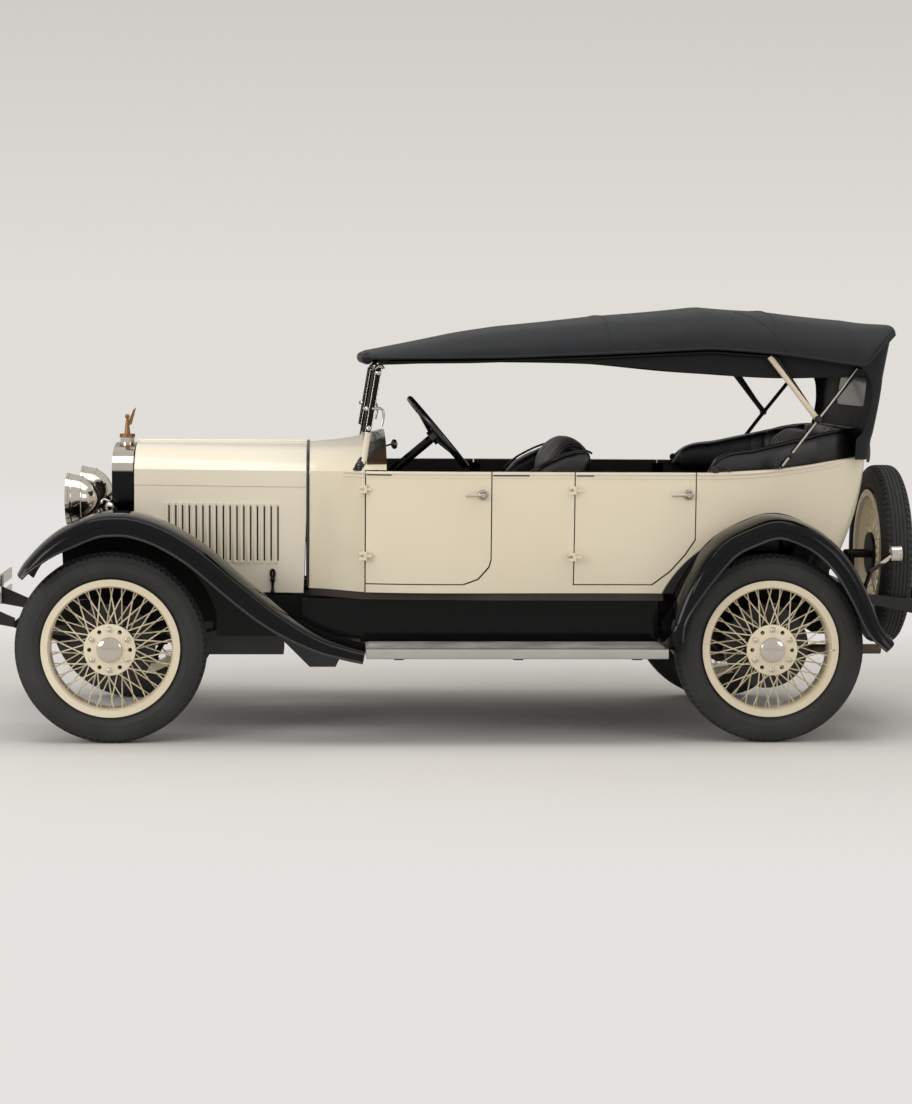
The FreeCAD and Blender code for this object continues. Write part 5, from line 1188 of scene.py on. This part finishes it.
def board_dressing():
    step = (MAT_OUTER - MAT_INNER) / MAT_RIBS
    starts = spread(MAT_RIBS + 1, MAT_INNER, MAT_OUTER)[:-1]
    profile = [(y + step * share, z) for y in starts for share, z in MAT_RIB]
    mat = panel("board_mat_left", [[place(x, -y, z) for y, z in profile] for x in (1074, 2312)], 0.0015)
    paired(mat, "board mat grey", 0.4)
    nosing = skinned("board_nosing_left", [[place(x, -y, z) for y, z in NOSING] for x in (1062.5, 2324.5)])
    paired(nosing, "bright aluminium", 0.7)


# Wheels: plated hub caps, nuts and valves
HUB_CAP = [(0, 0), (0, 58), (3, 60), (6, 58), (7, 54), (12, 53), (20, 50), (25, 42), (28, 26), (29, 10),
           (29, 0)]
WHEEL_NUT = [(0, 0), (0, 15), (2, 15), (2, 10.5), (11, 10.5), (13, 8.5), (14, 6), (18, 6), (19, 4.5), (19, 0)]
NUT_CIRCLE = 84
HUB_FACE = 0.0965
VALVE = [Vector((0.262, -0.012, 0.0)), Vector((0.25, -0.02, 0.0)), Vector((0.235, -0.022, 0.0))]


def hub_dressing():
    pieces = [turned("hub_cap", HUB_CAP, (0, 0, 0), (0, -1, 0), 40)]
    for i in range(6):
        turn = math.radians(60 * i + 30)
        at = Vector((NUT_CIRCLE * MM * math.cos(turn), 0, NUT_CIRCLE * MM * math.sin(turn)))
        pieces.append(turned("hub_nut", WHEEL_NUT, at, (0, -1, 0), 6))
    pattern = joined("hub_trim_spare", pieces + [tube("valve", VALVE, 0.004, order=3)])
    for end, x in (("front", AXLE), ("rear", REAR_AXLE)):
        hub = shifted(copied(pattern, "hub_trim_%s_left" % end), (x, -(WHEEL_Y + HUB_FACE), AXLE_HEIGHT))
        paired(hub, "nickel", 0.6, "wheel_%s_left" % end)
    middle = spare_middle()
    settled(shifted(pattern, (middle.x + HUB_FACE, 0, middle.z), math.pi / 2), "nickel")


# Bonnet: seam strip, louvre slots filled with black bars as painted shade, hinge rod and catches
SEAM_TURN = 128
SEAM_LINES = [(811, 824, 1.0), (814.5, 824, 4.5), (820, 824, 4.5), (823.5, 824, 1.0)]
LOUVRES, LOUVRE_FIRST, LOUVRE_PITCH = 17, 217.0, 29.5
LOUVRE_HEIGHTS = (738, 800, 860, 920, 972)
BONNET_CATCH = [(0, 0), (0, 9), (4, 10), (10, 7), (30, 6), (44, 7), (50, 11), (58, 12), (64, 8), (66, 0)]
CATCH_X = 666
HINGE_ROD = [(66, 0), (66, 8.8), (812, 8.8), (812, 0)]


def bonnet_trim():
    settled(wrapped_strip("bonnet_seam_strip", 61, SEAM_TURN, SEAM_LINES), "dark steel", 0.8)
    behind = Vector((-0.006, 0.0, -0.006))
    line = [p + behind for p in wrapped(skin_of("cowl"), 822, 61, SEAM_TURN, -8.0)]
    settled(tube("bonnet_seam_lacing", line, 0.006, sides=2), "slot black", 0.8)
    side = skin_of("bonnet_side_left")
    slots, lips = [], []
    for i in range(LOUVRES):
        line = [from_left(side, LOUVRE_FIRST + LOUVRE_PITCH * i, z) for z in LOUVRE_HEIGHTS]
        # Each louvre slot is a black bar: painted shade in the opening.
        slot = [p + Vector((0, 0.0004, 0)) for p in line]
        slots.append(tube("slot", slot, 0.0042, order=2, sides=1))
        lip = [p + Vector((-0.0062, -0.0016, 0)) for p in line]
        lips.append(tube("lip", lip, 0.0036, order=2, sides=2))
    paired(joined("louvre_lips_left", lips), "coach cream", 1.2, "bonnet_side_left")
    paired(joined("louvre_slots_left", slots), "slot black", 0.8, "bonnet_side_left")
    settled(turned("bonnet_hinge_rod", HINGE_ROD, place(0, 0, 1238), (1, 0, 0), 20), "coach cream")
    y = from_left(side, CATCH_X, 660).y / MM - 7
    body = turned("bonnet_catch", BONNET_CATCH, place(CATCH_X, y, 600), (0, 0, 1), 16)
    line = [place(CATCH_X + 8 * s, y - 3, 682 + 17 * c) for c, s in round_turn(12)]
    loop = tube("loop", line, 0.0058, closed=True)
    paired(joined("bonnet_catch_left", [body, loop]), "wing black", 0.8)


# Dash hood, instruments, levers and pedals
HOOD_LINES = [(1068, 1068, 1.6), (1090, 1090, 1.6), (1120, 1120, 1.6), (1143, 1143, 1.6), (1151, 1145, 0.4)]
DIALS = [(-60, 1150, 42), (60, 1150, 42), (-150, 1148, 26), (150, 1148, 26), (0, 1200, 20)]
DASH_KNOB = [(0, 0), (0, 9), (6, 19), (14, 22), (24, 17), (28, 0)]
LEVER_KNOB = [(-6, 0), (-4, 10), (6, 19), (20, 20), (30, 13), (34, 0)]
HORN_BUTTON = [(10, 0), (10, 26), (16, 30), (24, 27), (30, 16), (32, 0)]
STEERING_HUB, STEERING_AXIS = (1358, -330, 1272), (0.766, 0, 0.643)


def driving_place():
    settled(wrapped_strip("dash_hood", 41, 66, HOOD_LINES), "dash brown", 0.8)
    dials = [turned("dial", [(0, 0), (0, r), (5, r), (7, r - 3), (6, r - 7), (3, r - 8), (3, 0)],
                    place(1110, y, z), (1, 0, 0), 28) for y, z, r in DIALS]
    settled(joined("dials", dials), "nickel")
    stem = tube("stem", [place(1110, -470, 1226), place(1150, -475, 1240), place(1176, -478, 1246)], 0.004)
    knob = turned("knob", DASH_KNOB, place(1172, -478, 1245), (1, -0.05, 0.1), 20)
    settled(joined("dash_knob", [stem, knob]), "ebonite", 0.8)
    levers = []
    for y, top, lean in ((10, 1030, 60), (70, 1000, 20)):
        head = place(1300 + lean, y, top)
        levers.append(tube("lever", [place(1290, y, 700), place(1300 + lean * 0.4, y, 850), head], 0.007))
        levers.append(turned("lever_knob", LEVER_KNOB, head, (0.2, 0, 1), 20))
    settled(joined("levers", levers), "ebonite", 0.8)
    pedals = []
    for y in (-400, -330, -255):
        pedals.append(slab("pedal_pad", place(1075, y - 26, 790), place(1083, y + 26, 850), 0.003))
        stem = [place(x, y, z) for x, z in ((1080, 820), (1030, 760), (985, 700))]
        pedals.append(tube("pedal_stem", stem, 0.006))
    settled(joined("pedals", pedals), "cast grey")
    horn = turned("horn_button", HORN_BUTTON, place(*STEERING_HUB), STEERING_AXIS, 28)
    settled(horn, "ebonite", 0.8, "steering_wheel")


# Windscreen fittings, along a post that leans back
POST_FOOT, POST_RUN, POST_BASE, POST_RISE, POST_Y = 1045, 72, 1140, 431, -575
STANCHION = [(-2, 0), (-2, 17), (10, 16), (150, 13.5), (156, 15), (160, 12), (160, 0)]
SCREEN_PIVOT = [(0, 0), (0, 10), (8, 12), (14, 8), (22, 9), (26, 0)]
SCREEN_ARM = [(1116, 1404), (1131, 1398), (1138, 1382), (1136, 1354), (1127, 1323)]
FOOT_BOLT = [(0, 0), (0, 7), (6, 7), (9, 4), (9, 0)]
CHEEK = [(1006, 1140), (1062, 1140), (1064, 1176), (1050, 1196), (1038, 1196)]
POST_COLLAR = [(-4, 0), (-4, 26), (2, 27), (6, 22), (12, 21), (16, 25), (24, 24), (28, 18), (36, 17), (40, 0)]


def on_post(share, forward=0.0, y=POST_Y):
    return place(POST_FOOT + POST_RUN * share + forward, y, POST_BASE + POST_RISE * share)


def windscreen_fittings():
    pieces = []
    for forward in (-11.5, 11.5):
        for y in (-584, -566):
            line = [on_post(t, forward, y) for t in (0.36, 0.6, 0.97)]
            pieces.append(tube("edge", line, 0.0016, order=3, sides=2))
    for share, reach in ((0.41, 20), (0.955, 22)):
        knob = [(0, 0), (0, 9), (5, 9), (6, 6), (reach - 6, 6), (reach - 4, 10), (reach, 10), (reach + 3, 6),
                (reach + 3, 0)]
        pieces.append(turned("knob", knob, on_post(share, 0, -586), (0, -1, 0), 14))
    clamp = [on_post(*at) for at in ((0.93, -18), (0.97, -20), (1.02, -8), (1.04, 6), (0.99, 20))]
    pieces.append(tube("clamp", clamp, 0.0065))
    pieces.append(tube("arm", [on_post(0.6, 0, -590)] + [place(x, -592, z) for x, z in SCREEN_ARM], 0.0052))
    pieces.append(turned("pivot", SCREEN_PIVOT, on_post(0.6, -14, -580), (-1, 0, 0.1), 16))
    paired(joined("windscreen_fittings_left", pieces), "nickel", 0.8)
    post = tube("windscreen_side_tube_left", [on_post(t, -17) for t in (0.37, 0.7, 0.985)], 0.0085, order=3)
    paired(post, "wing black", 1.0)
    sleeve = turned("stanchion_left", STANCHION, place(1046, -577, 1142), (POST_RUN, 0, POST_RISE), 24)
    paired(sleeve, "coach cream", 0.8)
    cheek = skinned("cheek", [[place(x, y, z) for x, z in CHEEK] for y in (-590, -566)])
    foot = [rounded(cheek, 0.004, 3), turned("foot", POST_COLLAR, place(1040, -577, 1141), (0.1, 0, 1), 20)]
    for dx, dy in ((-22, -14), (16, -18), (-14, 16), (20, 12)):
        foot.append(turned("bolt", FOOT_BOLT, place(1040 + dx, -577 + dy, 1144), (0, -0.2, 1), 6))
    paired(joined("stanchion_foot_left", foot), "dark steel")


# Lamps
LAMP_X, LAMP_Y, LAMP_Z = -208, -340, 1000
LAMP_RIM = [(-3, 96), (0, 103), (4, 107), (10, 107.5), (15, 106), (17, 104), (15, 101), (4, 97),
            (-2, 94), (-3, 96)]
LAMP_CLAMP = [(-14, 0), (-14, 14), (-6, 20), (2, 14), (8, 10), (14, 16), (26, 20), (38, 15), (44, 6),
              (46, 0)]
LAMP_LENS = [(0, 97), (-6, 88), (-13, 66), (-18, 36), (-19.5, 0), (-17, 0), (-15.5, 36), (-10.5, 65),
             (-3.5, 87), (2.5, 96), (0, 97)]
LAMP_HOOK = [(-34, -398, 990), (-50, -400, 1006), (-66, -400, 1000), (-64, -400, 984)]
SEAM_X, SEAM_RADIUS = -150, 98.6
TAIL_LAMP = (3376, -480, 782)
TAIL_LENS = [(0, 30), (4, 26), (8, 16), (10, 0), (7.5, 0), (6, 15), (2, 25), (-2, 29), (0, 30)]
TAIL_RING = [(-4, 30), (-2, 36), (3, 37), (6, 34), (4, 30), (-2, 28), (-4, 30)]


def lamps():
    rim = turned("headlamp_rim", LAMP_RIM, place(LAMP_X, LAMP_Y, LAMP_Z), (1, 0, 0), 56)
    line = [place(SEAM_X, LAMP_Y + SEAM_RADIUS * c, LAMP_Z + SEAM_RADIUS * s) for c, s in round_turn(32)]
    seam = tube("seam", line, 0.0022, closed=True, sides=2)
    clamp = turned("clamp", LAMP_CLAMP, place(-34, -398, 946), (0.1, 0, 1), 20)
    hook = tube("hook", [place(*at) for at in LAMP_HOOK], 0.006)
    paired(joined("headlamp_trim_left", [rim, seam, clamp, hook]), "nickel", 0.7)
    lens = turned("headlamp_lens_left", LAMP_LENS, place(LAMP_X + 1, LAMP_Y, LAMP_Z), (1, 0, 0), 48)
    paired(lens, "lens glass", 1.0)
    settled(turned("tail_lamp_lens", TAIL_LENS, place(*TAIL_LAMP), (1, 0, 0), 32), "red glass", 1.0)
    settled(turned("tail_lamp_ring", TAIL_RING, place(*TAIL_LAMP), (1, 0, 0), 32), "nickel", 0.7)


# Door handles, and the strips that the doors shut against, black as painted shade in the door gaps
HANDLE_ROSE = [(-1, 0), (-1, 17), (3, 17), (5, 13), (6, 8), (16, 7), (24, 8), (27, 11), (30, 9), (31, 0)]
HANDLE_GRIP = [(8, -22, 0), (-10, -24, 1), (-40, -23, 0), (-74, -18, -2)]
HANDLE_SEAT = [(-1, 0), (-1, 22), (1, 22), (1.6, 0)]
DOOR_STOPS = [("door_front_left", "body_sides", 1593, 480), ("door_rear_left", "body_rear", 2458, 780)]


def door_handles():
    for name, x, z in (("door_front_left", 1556, 1040), ("door_rear_left", 2428, 1043)):
        y = from_left(skin_of(name), x, z).y / MM
        rose = turned("rose", HANDLE_ROSE, place(x, y, z), (0, -1, 0), 24)
        grip = tube("grip", [place(x + dx, y + dy, z + dz) for dx, dy, dz in HANDLE_GRIP], 0.0058)
        line = [place(x + 18 * c, y - 12, z + 18 * s) for c, s in round_turn(16)]
        ring = tube("ring", line, 0.0034, closed=True)
        seat = turned("handle_seat_" + name, HANDLE_SEAT, place(x, y, z), (0, -1, 0), 28)
        paired(seat, "slot black", 0.8, name)
        paired(joined("handle_" + name, [rose, grip, ring]), "nickel", 0.8, name)


def door_stops():
    for door, wall, at, low in DOOR_STOPS:
        doors, walls = skin_of(door), skin_of(wall, "body_sides")
        rows = []
        for z in spread(9, low, 1122):
            inner = met(doors, place(at - 40, -200, z), -INWARD)
            outer = met(walls, place(at + 22, -200, z), -INWARD)
            if inner is not None and outer is not None:
                near, far = inner.y / MM + 7, outer.y / MM + 1.5
                rows.append([place(at + dx, y, z) for dx, y in ((-20, near), (2, near), (8, far), (30, far))])
        # The strips are black: painted shade in the gaps round the doors.
        paired(panel("stop_" + door, rows, 0.002), "wing black", 0.8)


# Wings: start, run, base, rise and inner edge of each, then crest and lip depth as shares of them
WINGS = {
    "front": (-384, 1446, 404, 563, 553, [
        (0.0, 0.545, 0.35), (0.0207, 0.63, 0.5), (0.0717, 0.771, 0.75), (0.1285, 0.881, 0.95),
        (0.2137, 0.98, 1.0), (0.2989, 1.0, 1.0), (0.4125, 0.927, 1.0), (0.526, 0.758, 1.0),
        (0.6387, 0.517, 1.0), (0.7532, 0.281, 0.93), (0.8678, 0.103, 0.75), (0.954, 0.03, 0.67),
        (1.0, 0.002, 0.65)]),
    "rear": (2329, 967, 404, 559, 527, [
        (0.0, 0.06, 0.65), (0.012, 0.225, 0.65), (0.088, 0.526, 0.9), (0.214, 0.812, 1.0),
        (0.344, 0.939, 1.0), (0.475, 1.0, 1.0), (0.65, 0.903, 1.0), (0.782, 0.708, 1.0),
        (0.873, 0.454, 0.97), (0.941, 0.19, 0.85), (1.0, 0.054, 0.65)])}
WING_SECTION = [(0.0, -0.16), (0.11, -0.08), (0.22, -0.02), (0.5, 0.0), (0.64, -0.035), (0.76, -0.1),
                (0.86, -0.2), (0.93, -0.32), (0.968, -0.48), (0.99, -0.66), (1.0, -0.85), (1.003, -1.0)]
WING_OUTER, LIP_DEPTH, CROWN_DEPTH = 833, 92.0, 58
APRON_Y, APRON_FRONT, APRON_REAR, APRON_ARCH = -542, -222, 445, 450.0
SHIELD_REAR, SHIELD_Y, SHIELD_FOOT = 470, -425, 575


def wing_line(name, count):
    """Crest points of a wing with the unit normal and the depth of the lip at each."""
    start, run, base, rise, inner, plan = WINGS[name]
    rows = [(i, start + run * along, base + rise * up, LIP_DEPTH * lip)
            for i, (along, up, lip) in enumerate(plan)]
    found = []
    for t in spread(count, 0, len(rows) - 1):
        x, z, lip = between(rows, t)
        ahead, behind = between(rows, min(t + 0.6, len(rows) - 1)), between(rows, max(t - 0.6, 0))
        along = Vector((ahead[0] - behind[0], ahead[1] - behind[1])).normalized()
        found.append((x, z, Vector((-along.y, along.x)), lip))
    return found


def wing_skins():
    for name in WINGS:
        inner = WINGS[name][4]
        rows, edge = [], []
        for x, z, normal, lip in wing_line(name, 72):
            row = []
            for share, drop in WING_SECTION:
                depth = drop * (CROWN_DEPTH if drop > -0.5 else lip) + 2
                y = inner + (WING_OUTER - inner) * share
                row.append(place(x + normal.x * depth, -y, z + normal.y * depth))
            rows.append(row)
            edge.append(place(x - normal.x * (lip - 2), 2 - WING_OUTER, z - normal.y * (lip - 2)))
        paired(panel("wing_skin_%s_left" % name, rows, 0.0015), "wing black", 0.9)
        paired(tube("wing_bead_%s_left" % name, edge, 0.0055, order=3, sides=3), "bead black", 1.2)


def wing_sheets():
    """The sheet that closes the front wing towards the frame, and the apron under its inner edge."""
    crest = [(x, z) for x, z, normal, lip in wing_line("front", 90)]
    shield = []
    for x in spread(30, APRON_FRONT, SHIELD_REAR):
        high = straight(crest, x)[0] - 18
        shield.append([place(x, SHIELD_Y - 115 * t, SHIELD_FOOT + (high - SHIELD_FOOT) * t)
                       for t in spread(5, 0, 1)])
    paired(panel("splash_shield_left", shield, 0.002), "chassis black", 0.8)
    apron = []
    for x in spread(60, APRON_FRONT, APRON_REAR):
        low = max(430.0, 400 + max(APRON_ARCH ** 2 - x * x, 0) ** 0.5)
        high = straight(crest, x)[0] - 16
        apron.append([place(x, APRON_Y, low + (high - low) * t) for t in spread(5, 0, 1)])
    paired(panel("front_apron_left", apron, 0.004), "wing black", 0.8)


# Canopy fittings: wooden bows, bright irons, clamps and straps
WOOD_BOW = [(2973, 1366), (2930, 1420), (2860, 1510), (2790, 1597), (2764, 1630)]
BRIGHT_IRON = [(2823, -666, 1168), (2898, -666, 1266), (2973, -666, 1364), (3060, -662, 1477),
               (3140, -656, 1585)]
CURTAIN_STRAP = [(3238, 436, 1176), (3246, 436, 1206), (3240, 438, 1250)]
KNUCKLES = [(2823, 1168, 19), (2973, 1366, 17), (2542, 1150, 17), (2600, 1152, 12), (2858, 1214, 13)]


def canopy_fittings():
    body = skin_of("body_rear", "door_rear_left")
    for name, side in SIDES:
        bow = tube("canopy_wood_bow_" + name, [place(x, side * 655, z) for x, z in WOOD_BOW], 0.0125, order=3)
        settled(bow, "bow wood", 1.2)
        caps = []
        for x, z, r in KNUCKLES:
            hit = from_left(body, x, min(z, 1128))
            reach = abs(hit.y) / MM - 4 if z < 1200 and hit is not None else 664
            profile = [(0, 0), (0, r), (6, r), (9, r - 4), (14, r - 5), (16, r - 8), (22, r - 9), (24, 0)]
            caps.append(turned("knuckle", profile, place(x, side * reach, z), (0, side, 0), 18))
        settled(joined("canopy_knuckles_" + name, caps), "dark steel", 0.8)
        strap = tube("curtain_strap_" + name, [place(x, side * y, z) for x, y, z in CURTAIN_STRAP], 0.007)
        settled(strap, "exhaust steel", 1.0)
    bright = tube("canopy_bright_iron", [place(*at) for at in BRIGHT_IRON], 0.0045, order=3)
    paired(bright, "nickel", 1.0, mate="canopy_bright_iron_right")


# Stage and light
FLOOR_BACK = 15.0
WALL_TOP = 9.0
COVE = 2.5
STAGE_HALF = 14.0
COVE_STEPS = 12


def show_plain(material):
    """Far from the car the camera sees a pale tone that darkens up the wall as painted falloff of light, and
    round the car the floor with its shadow.
    """
    nodes = material.node_tree.nodes
    Socket.tree = material.node_tree
    far = ramp(part_of("Y") * 0.1 + 0.5, [(0.16, 1.0), (0.33, 0.0), (0.66, 0.0), (0.86, 1.0)])
    # Painted shade: the backdrop's tone darkens with height.
    tone = ramp(part_of("Z") * 0.125, [(0.0, linear((230, 226, 223))), (0.03, linear((225, 222, 218))),
                                       (0.3, linear((224, 221, 216))), (0.8, linear((203, 200, 195)))])
    plain = Socket.node("ShaderNodeEmission", sockets={"Color": tone, "Strength": 1.0})
    seen = Socket.node("ShaderNodeLightPath")
    shader = Socket(nodes["Principled BSDF"].outputs[0])
    both = Socket.node("ShaderNodeMixShader", sockets={0: seen * far, 1: shader, 2: plain})
    material.node_tree.links.new(both.output, nodes["Material Output"].inputs["Surface"])


def make_stage():
    """A floor that curves up into a wall behind the car."""
    rows = [(-STAGE_HALF, 0.0)]
    for turn in spread(COVE_STEPS + 1, 0, math.pi / 2):
        rows.append((FLOOR_BACK + COVE * math.sin(turn), COVE * (1 - math.cos(turn))))
    rows.append((FLOOR_BACK + COVE, WALL_TOP))
    stage = lattice("stage", [[(x, y, z) for x in (-STAGE_HALF, STAGE_HALF)] for y, z in rows])
    bpy.ops.object.shade_smooth()
    floor = finish_of("studio floor", backdrop)
    stage.data.materials.append(floor)
    show_plain(floor)


def area_light(name, at, towards, size, power):
    data = bpy.data.lights.new(name, "AREA")
    data.shape = "RECTANGLE"
    data.size, data.size_y = size
    data.energy = power
    lamp = bpy.data.objects.new(name, data)
    bpy.context.scene.collection.objects.link(lamp)
    lamp.location = at
    lamp.rotation_euler = (Vector(towards) - Vector(at)).to_track_quat("-Z", "Y").to_euler()


def make_light():
    world = bpy.data.worlds.new("studio")
    bpy.context.scene.world = world
    world.use_nodes = True
    background = world.node_tree.nodes["Background"]
    background.inputs["Color"].default_value = linear((236, 235, 232))
    background.inputs["Strength"].default_value = 0.84
    area_light("top box", (0.0, -1.0, 5.6), (0.0, 0.2, 0.0), (7.5, 3.2), 150.0)
    area_light("front box", (-6.5, -5.5, 3.2), (-0.8, 0.0, 0.8), (3.5, 2.5), 160.0)
    area_light("rear box", (6.5, -6.0, 3.4), (1.0, 0.0, 0.8), (3.5, 2.5), 60.0)


make_camera()
finish_nodes()
canopy = canopy_cloth()
hanging_bands()
rear_curtain()
tyres()
seats()
tail_roll()
belt_moulding()
board_dressing()
hub_dressing()
bonnet_trim()
driving_place()
windscreen_fittings()
lamps()
door_handles()
wing_skins()
wing_sheets()
door_stops()
canopy_fittings()
make_stage()
make_light()
bpy.context.scene.view_settings.view_transform = "Standard"
